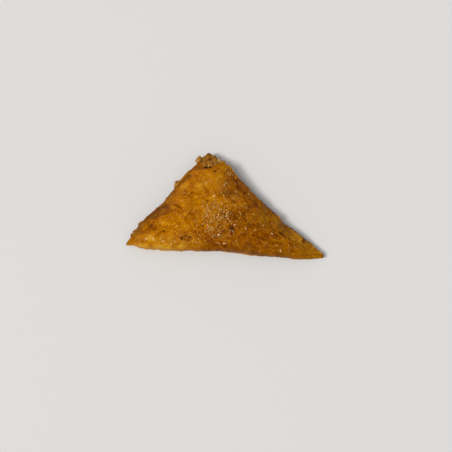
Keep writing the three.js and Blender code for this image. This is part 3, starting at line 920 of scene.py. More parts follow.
def makeTopSheet(s):
    half = pastry["halfLength"]
    x = np.linspace(-half, half, s["columns"])[None, :]
    full = fullness(x)
    fold = foldAt(x) - 0.3 * full * uneven(x, 9)
    width = lowerEdgeAt(x) - foldAt(x)
    radius = np.minimum(pastry["foldRadius"], 0.3 * width)
    ragged = 0.4 * uneven(x, 6) + 0.5 * sampled(x, 0, 0, 1.7, 21) + 0.4 * sampled(x, 3, 0, 0.7, 22)
    atNuts = bell(x, -13, 8)
    edge = topEdgeAt(x) - (0.2 * (1 - atNuts) + ragged * (1 - 0.75 * atNuts)) * 1.4 * full
    edge = np.maximum(edge, fold + 0.5 * width)
    end = fold + radius
    # over the top
    v = np.linspace(0, 1, s["topRows"])[:, None]
    y = mix(edge, end, v)
    calm = mix(0.35, 1, eased(full * 3))  # less relief at the thin tips
    height, dark, dry = topRelief(x, y)
    rightLip = 0.4 * eased(x, 28, 6) * eased((52 - x) / 6) + bell(x, 42.5, 2.8)
    curl = s["curl"] * (0.6 + 1.2 * sampled(x, 0, 0, 8, 23)) + 0.7 * rightLip
    curl = bell(edge - y, 0, 1.3) * full * curl * (1 - 0.9 * bell(x, 26, 4)) * (1 - 0.8 * eased(-x, 26, 6))
    z = topHeight(x, y) + s["proud"] + calm * height * (1 - 0.3 * bell(y - end, 0, 2)) + curl
    # round the fold
    turn = np.linspace(0, 1, s["foldRows"] + 1)[1:, None] * math.pi
    crown = topHeight(x, end) + s["proud"]
    floor = lift(x) + 0.03
    foldHeight, foldDark, foldDry = topRelief(x, end - radius * turn)
    foldHeight = 0.6 * foldHeight * calm * (1 - eased(turn, 2.4, 0.7))
    foldY = fold + radius * (1 - np.sin(turn)) - foldHeight * np.sin(turn)
    foldZ = mix(floor, crown, 0.5 + 0.5 * np.cos(turn)) + foldHeight * np.cos(turn)
    # and under
    u = np.linspace(0, 1, s["underRows"] + 1)[1:, None]
    underY = end + (np.minimum(s["underReach"], 0.3 * width) + 1.5 * sampled(x, 5, 0, 4, 24)) * u
    underZ = floor + 0.05 * np.abs(sampled(x, underY, 0, 2, 25))
    # the open edge shows its thickness; its side and the sheet's underside are painted darker as shade
    lip = edge - 1.4
    lipZ = topHeight(x, lip) + s["proud"] - s["thickness"]
    allY = np.vstack([lip, edge - 0.05, y, foldY, underY])
    allZ = np.vstack([lipZ, z[:1] - s["thickness"], z, foldZ, underZ])
    allDark = np.vstack([dark[:1] + 0.15, dark[:1] + 0.10, dark, foldDark, 0.05 + 0 * underZ])
    allDry = np.vstack([dry[:1], dry[:1], dry, foldDry, 0 * underZ])
    piece = laid("topSheet", x, allY, np.maximum(tipClosed(x, allZ), 0))
    fromRim = edge - allY
    # painted shadow along the rim under the nuts at the mouth
    allDark += 0.22 * bell(fromRim, 0.2, 0.7) * bell(x, -14, 6)
    # painted highlight along the curled lip on the right
    allDark -= 0.24 * bell(fromRim, 0.2, 0.6) * eased(x, 23, 3)
    # painted light along the fold on the left, as pale film
    foldGlow = 0.45 * bell(allY - foldAt(x), 0, 1.4) * eased(-x, 8, 34)
    return glazed(piece, x, allY, allDark, allDry * eased(fromRim / 1.5 + 0.3) + foldGlow)


top = makeTopSheet(topSheet)
topTree = BVHTree.FromObject(top, bpy.context.evaluated_depsgraph_get())
print("top sheet made,", len(top.data.polygons), "faces")

# The sheet below it, which shows as a step along the two open sides.

underSheet = {
    "columns": 410,
    "rows": 44,
    "share": 0.17,  # of the edge's thickness, below the top
    "tuck": 3.2,  # how far it runs in under the top sheet
    "thickness": 0.3,
    "droop": 0.5,  # of the open edge
    "height": {"wrinkle": 0.38, "grain": 0.14, "broad": 0.35},
    # painted shade in the hollows of the wrinkles and grain, painted light on their heights
    "darkening": {"wrinkle": -0.13, "grain": -0.14},
    "folds": [  # points, width, depth, darkening: painted shade in each fold's groove
        ([(31.5, 19.5), (33.5, 24.0), (34.5, 27.5)], 0.5, 0.3, 0.16),
        ([(41.0, 12.5), (43.5, 16.0), (45.0, 19.0)], 0.6, 0.35, 0.2),
        ([(28.5, 25.0), (32.5, 27.5), (36.0, 28.0)], 0.5, 0.25, 0.12),
        ([(47.0, 9.0), (52.0, 10.0), (57.0, 9.0)], 0.5, 0.25, 0.14),
        ([(56.5, 7.5), (58.5, 9.5), (59.5, 11.0)], 0.8, 0.5, 0.4),
        ([(28.1, 28.6), (30.3, 25.7), (32.4, 24.3)], 0.5, 0.3, 0.2),
    ],
    "patches": [  # x, y, half sizes, a turn where there is one, amount
        (32, 23, 4, 3, -40, -0.03),
        (29, 31, 5, 3, -45, 0.09),
        (43, 18, 5, 3, -40, 0.16),
        (51, 11, 5, 3, -35, -0.14),
        (57.2, 7.5, 1.4, 1.4, 0.30),
        (63, 2, 4, 2.5, -40, -0.12),
    ],
}


def makeUnderSheet(s):
    half = pastry["halfLength"] - 0.5
    x = np.linspace(-half, half, s["columns"])[None, :]
    outer, inner, fold = lowerEdgeAt(x), topEdgeAt(x), foldAt(x)
    width = outer - fold
    full = fullness(x)
    thick = edgeHeight(x)
    ragged = 0.5 * uneven(x, 8) + 0.5 * sampled(x, 0, 0, 1.9, 26) + 0.3 * sampled(x, 3, 0, 0.8, 27)
    edge = mix(outer, inner - 0.5, np.maximum(atMouth(x), 0.08)) - (0.25 + ragged) * 1.3 * full
    edge = np.maximum(edge, fold + 0.55 * width)
    inside = np.minimum(np.minimum(edge, inner) - s["tuck"] * (0.3 + 0.7 * full), edge - 0.4)
    y = mix(edge, inside, np.linspace(0, 1, s["rows"])[:, None])
    # wrinkles run across the step on the right side, along it on the left
    wrinkle = mix(0.4 * streaked(x, y, 45, 1.6, 29), streaked(x, y, 50, 1.9, 28, 4, 3), eased(x, 10, 12))
    grain = sampled(x, y, 0, 1.3, 30, how=fractal(3))
    h, d = s["height"], s["darkening"]
    height = h["wrinkle"] * wrinkle + h["grain"] * grain + h["broad"] * sampled(x, y, 0, 6, 33)
    dark = d["wrinkle"] * wrinkle + d["grain"] * grain
    wobbleX, wobbleY = warped(x, y, 0.6, 2.4, 11)
    for points, wide, depth, tone in s["folds"]:
        away = besideLine(wobbleX, wobbleY, points)[0]
        height += depth * (0.7 * bell(away, 1.8 * wide, wide) - bell(away, 0, wide))
        dark += tone * bell(away, 0, 1.2 * wide)
    covered = eased((topEdgeAt(x) - y + 0.3) / 1.5)  # kept low where the top sheet lies on it
    share = s["share"] * (1 - 0.8 * bell(x, 26, 4)) * (1 - 0.5 * eased(x, 46, 5))
    share *= 1 - 0.7 * eased(-x, 26, 6)
    z = topHeight(x, y) - share * thick + full * (height * (1 - 0.7 * covered) - 0.35 * covered)
    z -= s["droop"] * bell(edge - y, 0, 1.5) * full * (0.4 + sampled(x, 0, 0, 7, 34))
    z = np.maximum(z, lift(x) + 0.5 * thick)
    # the open edge shows its thickness, its side painted darker as shade
    lip = edge - 1.2
    lipZ = topHeight(x, lip) - s["share"] * thick - 0.8
    allY = np.vstack([lip, edge - 0.05, y])
    allZ = np.vstack([lipZ, z[:1] - s["thickness"], z])
    allDark = np.vstack([dark[:1] + 0.2, dark[:1] + 0.1, dark])
    piece = laid("underSheet", x, allY, tipClosed(x, allZ))
    below = allY - inner
    # painted shade in the gap under the top sheet's lip, deepest near x 42.5, and painted light on the step
    # on the right
    shade = 0.18 * bell(below, 0.5, 0.6) * eased(x, 29, 4) * mix(1, 0.3, eased(x, 45, 4))
    shade += 0.34 * bell(below, 0.7, 0.9) * bell(x, 42.5, 2.8) - 0.13 * eased(x, 24, 6)
    shade += patched(s["patches"], x, allY)
    film = np.clip(0.15 * eased(x, 24, 6) - 0.9 * allDark - 0.05, 0, 0.5)
    return glazed(piece, x, allY, allDark + shade, film)


under = makeUnderSheet(underSheet)
print("under sheet made,", len(under.data.polygons), "faces")

# The stack below, shaped like the solid.

stack = {
    "underTop": 0.5,  # how far the stack lies below the sheets on top
    "shrink": 0.55,  # its open edges lie behind the loose sheets
    "foldShrink": 0.5,  # and its fold inside the top sheet
    "crinkle": 0.12,
    "grain": 0.07,
    "toast": 0.55,
}


def copyOfNode(node, name):
    # the node's own shape, cleaned and refined
    makeActive(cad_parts[node])
    bpy.ops.object.duplicate()
    piece = named(bpy.context.object, name)
    for key in [key for key in piece.keys() if key.startswith("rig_")]:
        del piece[key]
    piece.data.materials.clear()
    bpy.ops.object.mode_set(mode="EDIT")
    bpy.ops.mesh.select_all(action="SELECT")
    bpy.ops.mesh.remove_doubles(threshold=0.000005)
    bpy.ops.mesh.tris_convert_to_quads(face_threshold=math.radians(50), shape_threshold=math.radians(60))
    bpy.ops.object.mode_set(mode="OBJECT")
    subdivision = piece.modifiers.new("smooth", "SUBSURF")
    subdivision.levels = subdivision.render_levels = 2
    bpy.ops.object.modifier_apply(modifier="smooth")
    return piece


def makeStack(s):
    piece = copyOfNode("phyllo", "sheetStack")
    co = coordsOf(piece) / mm
    normal = normalsOf(piece)
    x, y, z = co[:, 0], co[:, 1] + pastry["middleY"], co[:, 2]
    crinkle = sampled(x, y, z, 3.2, 51, how=ridged(3))
    grain = sampled(x, y, z, 1.0, 52, stretch=(1, 1, 0.5), how=fractal(3))
    toast = s["toast"] + 0.10 * crinkle + 0.10 * sampled(x, y, z, 6, 53, how=fractal(3))
    olive = oliveZones(x, y) + 0.1
    # under the sheets the stack sinks out of the way
    sunk = s["underTop"] * eased(normal[:, 2], 0.2, 0.3) * eased((z - 0.55 * edgeHeight(x)) / 2)
    onEdge = eased((0.75 - np.abs(normal[:, 2])) / 0.4) * eased((y - foldAt(x) - 6) / 3)
    onFold = eased((3.5 - (y - foldAt(x))) / 2) * (normal[:, 1] < 0.2)
    move = s["crinkle"] * crinkle + s["grain"] * grain - s["shrink"] * onEdge - s["foldShrink"] * onFold
    co += normal * move[:, None]
    co[:, 2] = np.maximum(tipClosed(co[:, 0], co[:, 2] - sunk), 0)
    setCoords(piece, co * mm)
    # the stack's sides, between and behind the loose sheets, painted darker as shade
    paint(piece, toast=toast + 0.12 * onEdge, olive=np.clip(olive, 0, 1), mottled=1)
    return finished(piece, edgeMaterial, 40)


body = makeStack(stack)
print("stack made,", len(body.data.polygons), "faces")

# Loose edges of the sheets on the two open sides.

looseEdges = {
    "count": 13,
    "columns": 420,
    "rows": 7,
    "thickness": 0.16,
    "depth": 4.5,  # how far each reaches into the stack
    "seed": 4,
    "shares": [0.15, 0.17, 0.16, 0.17, 0.18, 0.17],  # of the edge's thickness, for each bundle
    "toTop": [0, 0, 0, 0.06, 0.1, 1],  # how far a bundle follows the top sheet's edge
    "firstUpper": 3,  # the bundles from here on lie above the filling
    "flop": 0.25,  # up or down at the open edge, at most
    "toasts": (0.30, 0.62),
}


def makeLooseEdges(s):
    half = pastry["halfLength"] - 0.8
    x = np.linspace(-half, half, s["columns"])[None, :]
    v = np.linspace(0, 1, s["rows"])[:, None] ** 1.4  # 0 at the open edge
    fold, outer, inner = foldAt(x), lowerEdgeAt(x), topEdgeAt(x)
    width = outer - fold
    total = edgeHeight(x)
    full = fullness(x)
    depth = np.minimum(s["depth"], 0.35 * width + 0.3)
    starts = np.cumsum([0] + s["shares"])
    draw = random.Random(s["seed"])
    sheets = []
    for i in range(s["count"]):
        level = (i + 0.6) / (s["count"] + 0.2)
        bundle = int(np.searchsorted(starts, level, side="right") - 1)
        isUpper = bundle >= s["firstUpper"]
        line = mix(outer, inner, np.maximum(s["toTop"][bundle], atMouth(x) if isUpper else 0))
        ragged = (
            0.55 * uneven(x, i * 1.7 + 3)
            + 0.6 * sampled(x, i * 9.0, 0, 5, 60 + i)
            + 0.55 * sampled(x, i * 5.0, 0, 1.4, 80 + i)
            - 0.8 * np.clip(sampled(x, i * 3.0, 0, 8, 95 + i) - 0.25, 0, 1)
        )
        edge = line + (ragged - 0.35 * draw.random() - 0.15) * 1.4 * full
        edge = np.maximum(edge, fold + 0.5 * width)
        y = edge - v * depth
        flat = topHeight(x, y) - (1 - level) * total if isUpper else lift(x) + level * total
        wave = 0.34 * sampled(x, y, i * 7.0, 6, 120 + i) + 0.20 * sampled(x, y, i * 4.0, 2.2, 140 + i)
        flop = draw.uniform(-s["flop"], s["flop"]) * (1 - v)
        z = np.maximum(flat + (wave * (1 - 0.6 * v) + flop) * full, lift(x) + 0.1)
        piece = laid(f"looseEdge{i}", x, y, tipClosed(x, z))
        toast = draw.uniform(*s["toasts"]) + 0.14 * bell(v / 0.25)
        toast = toast + 0.12 * sampled(x, y, i * 2.0, 4, 160 + i, how=fractal(3))
        olive = np.clip(oliveZones(x, y) * draw.uniform(0.3, 1.0), 0, 1)
        paint(piece, toast=toast, olive=olive, mottled=1)
        sheets.append(thickened(piece, s["thickness"]))
    return finished(joined(sheets, "looseEdges"), edgeMaterial, 50)


edges = makeLooseEdges(looseEdges)
print("loose edges made,", len(edges.data.polygons), "faces")

# Broken crumbs, modelled once and copied to where they lie.


def onTop(x, y):
    hit = topTree.ray_cast(Vector((x * mm, (y - pastry["middleY"]) * mm, 0.05)), Vector((0, 0, -1)))[0]
    if hit is None or hit.z < 0.003:
        return float(topHeight(x, y))
    return hit.z / mm


def brokenNut(name, seed, subdivisions, lobed=0.30, pitted=0.14, nearestCut=0.46, cuts=9):
    # a chopped nut of radius 1: rounded lobes in their skin, with paler flat broken faces
    piece = ball(subdivisions, name)
    co = coordsOf(piece)
    draw = random.Random(seed)
    lobes = sampled(*co.T, 0.75, seed, how=fractal(2))
    pits = sampled(*co.T, 0.28, seed + 3, how=ridged(2))
    co *= (1 + lobed * lobes + pitted * pits)[:, None]
    cutAway = np.zeros(len(co))
    for _ in range(cuts):
        face = Vector((draw.uniform(-1, 1), draw.uniform(-1, 1), draw.uniform(-0.6, 1)))
        face = np.array(face.normalized())
        over = np.maximum(0, co @ face - draw.uniform(nearestCut, 0.8))
        co -= 0.92 * over[:, None] * face
        cutAway += over
    setCoords(piece, co)
    paint(piece, tone=0.16 * lobes - 0.16 * pits + mix(0.22, -0.06, eased(cutAway / 0.06)))
    return piece


def copied(base):
    piece = base.copy()
    piece.data = base.data.copy()
    bpy.context.scene.collection.objects.link(piece)
    return piece


def copiedTo(base, place, sizes, turn, tone=0):
    # a copy with its own mesh, sized, turned about Z and put in its place
    piece = copied(base)
    c, s = math.cos(turn), math.sin(turn)
    spin = np.array([[c, s, 0], [-s, c, 0], [0, 0, 1]])
    setCoords(piece, placed(*((coordsOf(base) * np.array(sizes)) @ spin + np.array(place)).T))
    own = np.empty(len(base.data.vertices))
    base.data.attributes["tone"].data.foreach_get("value", own)
    paint(piece, tone=own + tone)
    return piece


def chip(shape, place, size, draw, *tones):
    # a crumb that lies any way round
    sizes = (size, size * draw.uniform(0.6, 0.9), size * draw.uniform(0.6, 0.9))
    return copiedTo(shape, place, sizes, draw.uniform(0, 3), draw.uniform(*tones))


def removed(pieces):
    selected(pieces)
    bpy.ops.object.delete()


# Torn flakes along the edges, the torn rims under the fold, and glazed lumps.

tornFlakes = {
    "thickness": 0.14,
    "seed": 21,
    "placed": [  # x, y, height, length, width, turn, curl, toast
        (-29.8, 53.2, 8.4, 15.0, 1.3, 52, 0.5, 0.36),  # thin loose edge beside the left nut
        (3.9, 57.8, 9.6, 4.6, 1.0, -50, 0.5, 0.08),
        (6.4, 55.0, 9.2, 3.4, 0.8, -58, 0.4, 0.12),
        (9.6, 52.2, 8.0, 3.6, 0.7, -30, 0.6, 0.14),
        (12.4, 49.6, 7.4, 3.0, 1.3, -62, 0.4, 0.06),
        (12.6, 50.4, 5.6, 3.2, 0.5, 20, 0.5, 0.1),
        (13.6, 49.4, 5.0, 2.6, 0.45, 50, 0.4, 0.1),
        (21.6, 14.4, 17.2, 2.4, 1.3, 30, 0.2, 0.1),
        (43.5, 9.9, 11.6, 4.4, 1.0, -32, 0.6, 0.22),
        (64.8, 2.6, 4.4, 4.0, 1.2, -50, 0.5, 0.2),
        (69.0, -1.2, 4.2, 3.2, 1.6, -35, 0.7, 0.24),
        (-69.6, 7.0, 3.6, 4.2, 0.9, 48, 0.5, 0.66),
        (-70.4, 5.0, 3.4, 2.6, 0.7, -20, 0.4, 0.7),
        (-3.0, 64.9, 8.8, 3.0, 1.1, -12, 0.5, 0.3),
        (-67.8, 12.0, 3.4, 2.8, 1.4, 74, 0.4, 0.62),
        (-65.8, 14.8, 3.8, 3.4, 1.4, 40, 0.5, 0.50),
        (-61.7, 20.6, 4.6, 3.8, 1.1, 42, 0.5, 0.46),
    ],
    "hem": 0.9,  # how far the lowest sheets' torn rims may show from under the fold
    "hemThickness": 0.1,
    "hemColumns": 520,
    "hems": [  # for each of the two: (x, half width, amount), and its height
        ([(-46, 19, 0.75), (13, 17, 1.0), (52, 9, 0.5)], 0.26),
        ([(-57, 8, 0.5), (-33, 7, 0.5), (21, 9, 0.75)], 0.75),
    ],
    "lumps": [  # x, y, size: along the right shoulder, and two on the right tip
        (-1.0, 63.4, 1.2), (0.9, 62.5, 1.1), (2.7, 61.6, 1.4), (4.2, 59.8, 1.2), (5.4, 58.2, 1.2),
        (6.8, 56.4, 1.0), (1.6, 60.4, 0.9), (3.2, 58.2, 0.8), (8.3, 54.6, 0.8), (-0.2, 61.6, 0.9),
        (9.6, 52.8, 0.7), (5.2, 56.2, 0.7), (3.9, 60.9, 0.9), (-2.4, 62.2, 0.8),
        (69.4, -4.1, 1.7), (70.2, -2.9, 1.2),
    ],
    "small": {  # scattered along the open edges
        "count": 26,
        "length": (1.5, 4.5),
        "width": (0.5, 1.2),
        "curl": (0.2, 0.6),
        "toast": (0.1, 0.6),
    },
}


def flake(f, seed, thickness):
    # a narrow torn strip, bowed along its length and curled across
    x0, y0, z0, length, width, turn, curl, toast = f
    u = np.linspace(-0.5, 0.5, 15)[None, :]
    v = np.linspace(-0.5, 0.5, 5)[:, None]
    taper = np.sqrt(np.clip(1 - (1.9 * np.abs(u)) ** 3, 0.04, 1))
    ragged = 0.25 * sampled(u * length, v * 3, 0, 0.8, seed)
    lx = u * length + 0.15 * ragged * length * np.abs(v)
    ly = v * width * taper + 0.25 * width * ragged + 0.10 * length * (0.25 - u**2)
    lz = 0.5 * curl * width * (4 * v * v - 0.3) + 0.25 * sampled(u * length, v, 2, 2.0, seed + 1)
    tx, ty = turned(lx, ly, -turn)
    piece = laid(f"flake{seed}", x0 + tx, y0 + ty, np.maximum(z0 + lz, 0.12))
    paint(piece, toast=toast + 0.08 * ragged, olive=0.15)
    return thickened(piece, thickness)


def makeHems(s):
    # torn rims of the lowest two sheets; each shows from under the fold only here and there
    x = np.linspace(-66, 64, s["hemColumns"])[None, :]
    v = np.linspace(0, 1, 6)[:, None]
    left = eased(-x, 10, 16)
    made = []
    for layer, (places, rise) in enumerate(s["hems"]):
        shown = sum(amount * bell(x, cx, halfWidth) for cx, halfWidth, amount in places)
        torn = 0.7 * sampled(x, layer, 0, 5.0, 91) + 0.4 * sampled(x, layer, 0, 1.8, 92)
        torn += 0.2 * sampled(x, layer, 0, 0.9, 96, how=ridged(2))
        pointed = 0.5 - 3.5 * np.abs(sampled(x, layer, 0, 3.0, 97))  # small torn points towards the left
        torn += 0.9 * np.clip(pointed, -0.5, 0.5) * left
        out = mix(-2.2, s["hem"] * (shown - 0.25 + 0.6 * torn), eased(shown * 2))
        y = foldAt(x) + 3.4 - (3.4 + out) * v
        z = lift(x) + rise + (0.16 + 0.24 * layer) * v * sampled(x, v * 2, 4 * layer, 2.2, 94)
        piece = laid(f"hem{layer}", x, y, np.maximum(z, 0.1))
        toast = mix(0.34, 0.10, left) + 0.10 * sampled(x, y, 0, 1.6, 95)
        paint(piece, toast=toast, olive=mix(0.2, 0.1, left) + 0 * y, film=mix(0.3, 0.5, left) + 0 * y)
        made.append(thickened(piece, s["hemThickness"]))
    return made


def pressedOn(piece, carriers):
    # a flake that would hang clear of every sheet is moved on to the nearest one
    points = [Vector(p) for p in coordsOf(piece)[::2]]
    gaps = [carrier.find_nearest(p)[0] - p for p in points for carrier in carriers]
    gap = min(gaps, key=lambda g: g.length)
    if gap.length > 0.05 * mm:
        setCoords(piece, coordsOf(piece) + np.array(gap) * (1 + 0.15 * mm / gap.length))
    return piece


def makeFlakes(s):
    graph = bpy.context.evaluated_depsgraph_get()
    carriers = [BVHTree.FromObject(sheets, graph) for sheets in (body, top, under, edges)]
    draw = random.Random(s["seed"])
    made = [flake(f, 400 + i, s["thickness"]) for i, f in enumerate(s["placed"])]
    made += makeHems(s)
    shape = brokenNut("lumpShape", 360, 3)
    for i, (x, y, size) in enumerate(s["lumps"]):
        lump = copiedTo(shape, (x, y, onTop(x, y) - 0.1), (size, 0.8 * size, 0.6 * size), 1.3 * i)
        atTip = x > 60
        paint(lump, toast=0.20 + 0.12 * math.sin(3 * i) + 0.3 * atTip, olive=0.35 * atTip)
        made.append(lump)
    removed([shape])
    small = s["small"]
    for i in range(small["count"]):
        x = draw.choice([draw.uniform(-66, -26), draw.uniform(6, 66)])
        slope = math.degrees(math.atan2(lowerEdgeAt(x + 1) - lowerEdgeAt(x - 1), 2))
        y = lowerEdgeAt(x) - draw.uniform(0.2, 1.4)
        z = (lift(x) + edgeHeight(x)) * draw.uniform(0.3, 0.95) + 0.3
        length, width = draw.uniform(*small["length"]), draw.uniform(*small["width"])
        turn = slope + draw.uniform(-14, 14)
        form = (x, y, z, length, width, turn, draw.uniform(*small["curl"]), draw.uniform(*small["toast"]))
        made.append(pressedOn(flake(form, 480 + i, s["thickness"]), carriers))
    whole = joined(made, "tornFlakes")
    paint(whole, mottled=1)
    return finished(whole, edgeMaterial, 50)


flakes = makeFlakes(tornFlakes)
print("torn flakes made,", len(flakes.data.polygons), "faces")

# Chopped nuts: the ones that show at the open corner and the side, and the core they lie on.

nutColours = {
    "bare": (0.66, 0.39, 0.12),
    "tan": (0.44, 0.205, 0.030),
    "skin": (0.29, 0.105, 0.002),
    "dark": (0.12, 0.034, 0.002),
}


def nutMaterial(name):
    material, tree, shader, vector = newMaterial(name)
    grain = noiseNode(tree, vector, 900, 4, 0.6)
    tone = timesPlus(tree, grain, 0.8, attribute(tree, "tone"))
    tone = timesPlus(tree, noiseNode(tree, vector, 330, 3, 0.6, 0.8), 1.0, tone)
    places = {"bare": 0.0, "dark": 1.0, "tan": 0.3, "skin": 0.65}
    stops = [(place, nutColours[name]) for name, place in places.items()]
    feed(
        tree,
        shader,
        Base_Color=ramp(tree, maths(tree, "ADD", tone, -0.9, clamp=True), stops),
        Normal=bumped(tree, noiseNode(tree, vector, 2000, 4, 0.6), 0.6, 0.0003),
        Roughness=timesPlus(tree, grain, 0.4, 0.28, clamp=True),
        Coat_Weight=timesPlus(tree, grain, 3.0, -1.6, clamp=True),
        Coat_Roughness=0.12,
        Specular_IOR_Level=0.35,
        Specular_Tint=(1.0, 0.7, 0.3, 1),
        Subsurface_Weight=0.12,
        Subsurface_Radius=(1.0, 0.6, 0.25),
        Subsurface_Scale=mm,
    )
    return material


nutLook = nutMaterial("syrupedNuts")

nuts = {
    "seed": 11,
    "big": [  # x, y, z, half sizes, turn, and how dark
        (-18.6, 66.2, 7.4, 3.3, 2.4, 2.5, 1.35, 0.20),
        (-14.6, 67.0, 6.8, 3.6, 3.0, 2.7, 0.6, 0.74),
        (-11.2, 69.0, 6.8, 3.4, 2.9, 2.5, 2.2, 0.72),
        (-14.8, 62.3, 10.0, 3.5, 2.6, 2.2, 0.2, 0.36),
        (-10.8, 62.6, 10.2, 3.2, 2.7, 2.2, 2.7, 0.40),
        (-8.0, 66.9, 7.4, 3.3, 2.8, 2.4, 1.1, 0.68),
        (-4.7, 66.1, 8.0, 2.3, 1.9, 1.8, 0.4, -0.16),
        (-7.0, 64.4, 9.4, 3.1, 2.4, 2.1, 1.9, 0.45),
        (-2.6, 64.6, 7.2, 3.0, 2.3, 2.1, 2.4, 0.36),
        (2.0, 61.6, 6.4, 2.8, 2.1, 1.9, 2.3, 0.30),
        (-5.2, 63.2, 9.0, 2.0, 1.6, 1.5, 0.9, 0.35),
        (-34.7, 49.0, 6.2, 3.4, 2.5, 2.3, 1.35, 0.28),
    ],
    "onBig": 95,  # crumbs that cling to the big ones
    "onBigSizes": (0.3, 0.95),
    "bareBelow": 0.35,  # the big ones paler than this keep one crumb in four
    "inMouth": 48,
    "inMouthSizes": (0.5, 1.5),
}


def makeNuts(s):
    draw = random.Random(s["seed"])
    made = []
    for i, (*place, a, b, c, turn, tone) in enumerate(s["big"]):
        shape = brokenNut("nutShape", 200 + i, 5, 0.27, 0.11, 0.52)
        made.append(copiedTo(shape, place, (a, b, c), turn, tone))
        removed([shape])
    shapes = [brokenNut(f"crumbShape{i}", 300 + i, 3) for i in range(5)]
    for i in range(s["onBig"]):
        x, y, z, a, b, c, turn, tone = s["big"][draw.randrange(len(s["big"]))]
        if tone < s["bareBelow"] and i % 4:
            continue
        way = Vector((draw.gauss(0, 1), draw.gauss(0, 1), abs(draw.gauss(0, 1)))).normalized()
        size = draw.uniform(*s["onBigSizes"])
        place = (x + a * 0.9 * way.x, y + b * 0.9 * way.y, z + c * 0.9 * way.z)
        made.append(chip(shapes[i % 5], place, size, draw, 0.0, 1.0))
    for i in range(s["inMouth"]):
        x = draw.uniform(-21, 4)
        y = lowerEdgeAt(x) - draw.uniform(-0.4, 6.5)
        z = draw.uniform(4.6, 5.2 + 5.2 * bell(x, -9, 9))
        made.append(chip(shapes[i % 5], (x, y, z), draw.uniform(*s["inMouthSizes"]), draw, 0.1, 0.9))
    removed(shapes)
    return finished(joined(made, "choppedNuts"), nutLook, 60)


def makeCore():
    piece = copyOfNode("filling", "nutFilling")
    co = coordsOf(piece) / mm
    lumps = sampled(*co.T, 1.6, 71, how=lambda p: 0.5 - noise.voronoi(p)[0][0])
    setCoords(piece, (co + normalsOf(piece) * (0.25 * lumps - 0.25)[:, None]) * mm)
    paint(piece, tone=0.6 + 0.3 * lumps)
    return finished(piece, nutLook)


core = makeCore()
chopped = makeNuts(nuts)
print("nuts made,", len(chopped.data.polygons), "faces")

# Fine crumbs stuck to the glaze, burnt specks and beads of syrup on the top.

topCrumbs = {
    "seed": 31,
    "heaps": [  # x, y, spreads, how many
        (-5, 26.5, 6.0, 5.5, 225),
        (-6, 13, 8, 4.0, 34),
        (4.5, 56.0, 1.8, 1.8, 8),
        (-48, 8, 9, 3.5, 16),
        (8, 24, 18, 12, 18),
    ],
    "placed": [  # x, y, half length
        (-12.5, 29.7, 0.9), (-12.9, 25.8, 0.8), (-12.5, 24.0, 0.6), (-9.0, 25.4, 0.5), (-10.7, 25.4, 0.5),
        (-4.8, 32.2, 0.5), (-7.6, 30.7, 0.7), (-5.8, 31.5, 0.5), (-2.3, 28.6, 0.6), (-0.9, 27.9, 0.5),
        (1.6, 26.5, 0.8), (1.3, 24.4, 1.0), (-1.9, 23.0, 0.9), (-3.3, 23.7, 0.7), (-10.0, 21.2, 0.7),
        (-1.6, 20.1, 0.6), (-11.1, 16.6, 0.8), (-6.2, 34.4, 0.5), (-2.3, 34.3, 0.5), (21.8, 14.6, 0.9),
        (2.9, 56.2, 0.7), (4.1, 55.4, 0.7), (5.6, 55.2, 0.9), (7.6, 52.9, 0.6), (-3.4, 9.1, 0.5),
    ],
    "sizes": (0.29, 0.72),
}


def makeTopCrumbs(s):
    draw = random.Random(s["seed"])
    shapes = [brokenNut(f"crumbShape{i}", 320 + i, 2, 0.42) for i in range(4)]
    made = []
    for cx, cy, rx, ry, count in s["heaps"]:
        for i in range(count):
            x, y = draw.gauss(cx, rx), draw.gauss(cy, ry)
            if not foldAt(x) + 3 < y < topEdgeAt(x) - 1.5:
                continue
            size = mix(*s["sizes"], draw.random() ** 1.6)
            sizes = (size, size * draw.uniform(0.75, 1.1), size * draw.uniform(0.35, 0.6))
            place = (x, y, onTop(x, y) + draw.uniform(0.0, 0.14))
            made.append(copiedTo(shapes[i % 4], place, sizes, draw.uniform(0, 3), draw.uniform(0.0, 0.5)))
    for i, (x, y, size) in enumerate(s["placed"]):
        sizes = (size, size * draw.uniform(0.6, 0.9), 0.36 * size)
        place = (x, y, onTop(x, y) + 0.12)
        made.append(copiedTo(shapes[i % 4], place, sizes, draw.uniform(0, 3), draw.uniform(0.0, 0.3)))
    removed(shapes)
    return finished(joined(made, "topCrumbs"), nutLook, 60)


crumbs = makeTopCrumbs(topCrumbs)
print("top crumbs made,", len(crumbs.data.polygons), "faces")

burntSpecks = {
    "halfThickness": 0.22,
    "colours": [(0.3, (0.022, 0.008, 0.006)), (0.75, (0.10, 0.030, 0.014))],
    "placed": [  # x, y, half length, half width, turn
        (-3.6, 18.4, 1.4, 0.6, 0.35), (-4.9, 17.0, 0.8, 0.55, 1.3), (3.6, 16.0, 1.6, 0.7, -0.1),
        (5.5, 15.0, 1.1, 0.5, -0.6), (2.3, 49.9, 0.7, 0.35, 0.3), (4.4, 50.3, 0.6, 0.3, 0.8),
        (-7.6, 31.9, 0.4, 0.25, 0.2), (-0.6, 13.9, 0.7, 0.4, 0.4), (1.0, 16.6, 0.5, 0.3, 0.9),
        (0.9, 26.6, 0.45, 0.3, 0.4), (-16.2, 17.5, 0.4, 0.3, 0.1), (-52.9, 4.3, 0.35, 0.3, 0.4),
    ],
}


def burntMaterial(name):
    material, tree, shader, vector = newMaterial(name)
    grain = noiseNode(tree, vector, 1400, 3, 0.6)
    feed(
        tree,
        shader,
        Base_Color=ramp(tree, grain, burntSpecks["colours"]),
        Normal=bumped(tree, grain, 0.5, 0.0002),
        Roughness=timesPlus(tree, grain, 0.5, 0.35, clamp=True),
        Specular_IOR_Level=0.15,
        Specular_Tint=(1.0, 0.6, 0.3, 1),
    )
    return material


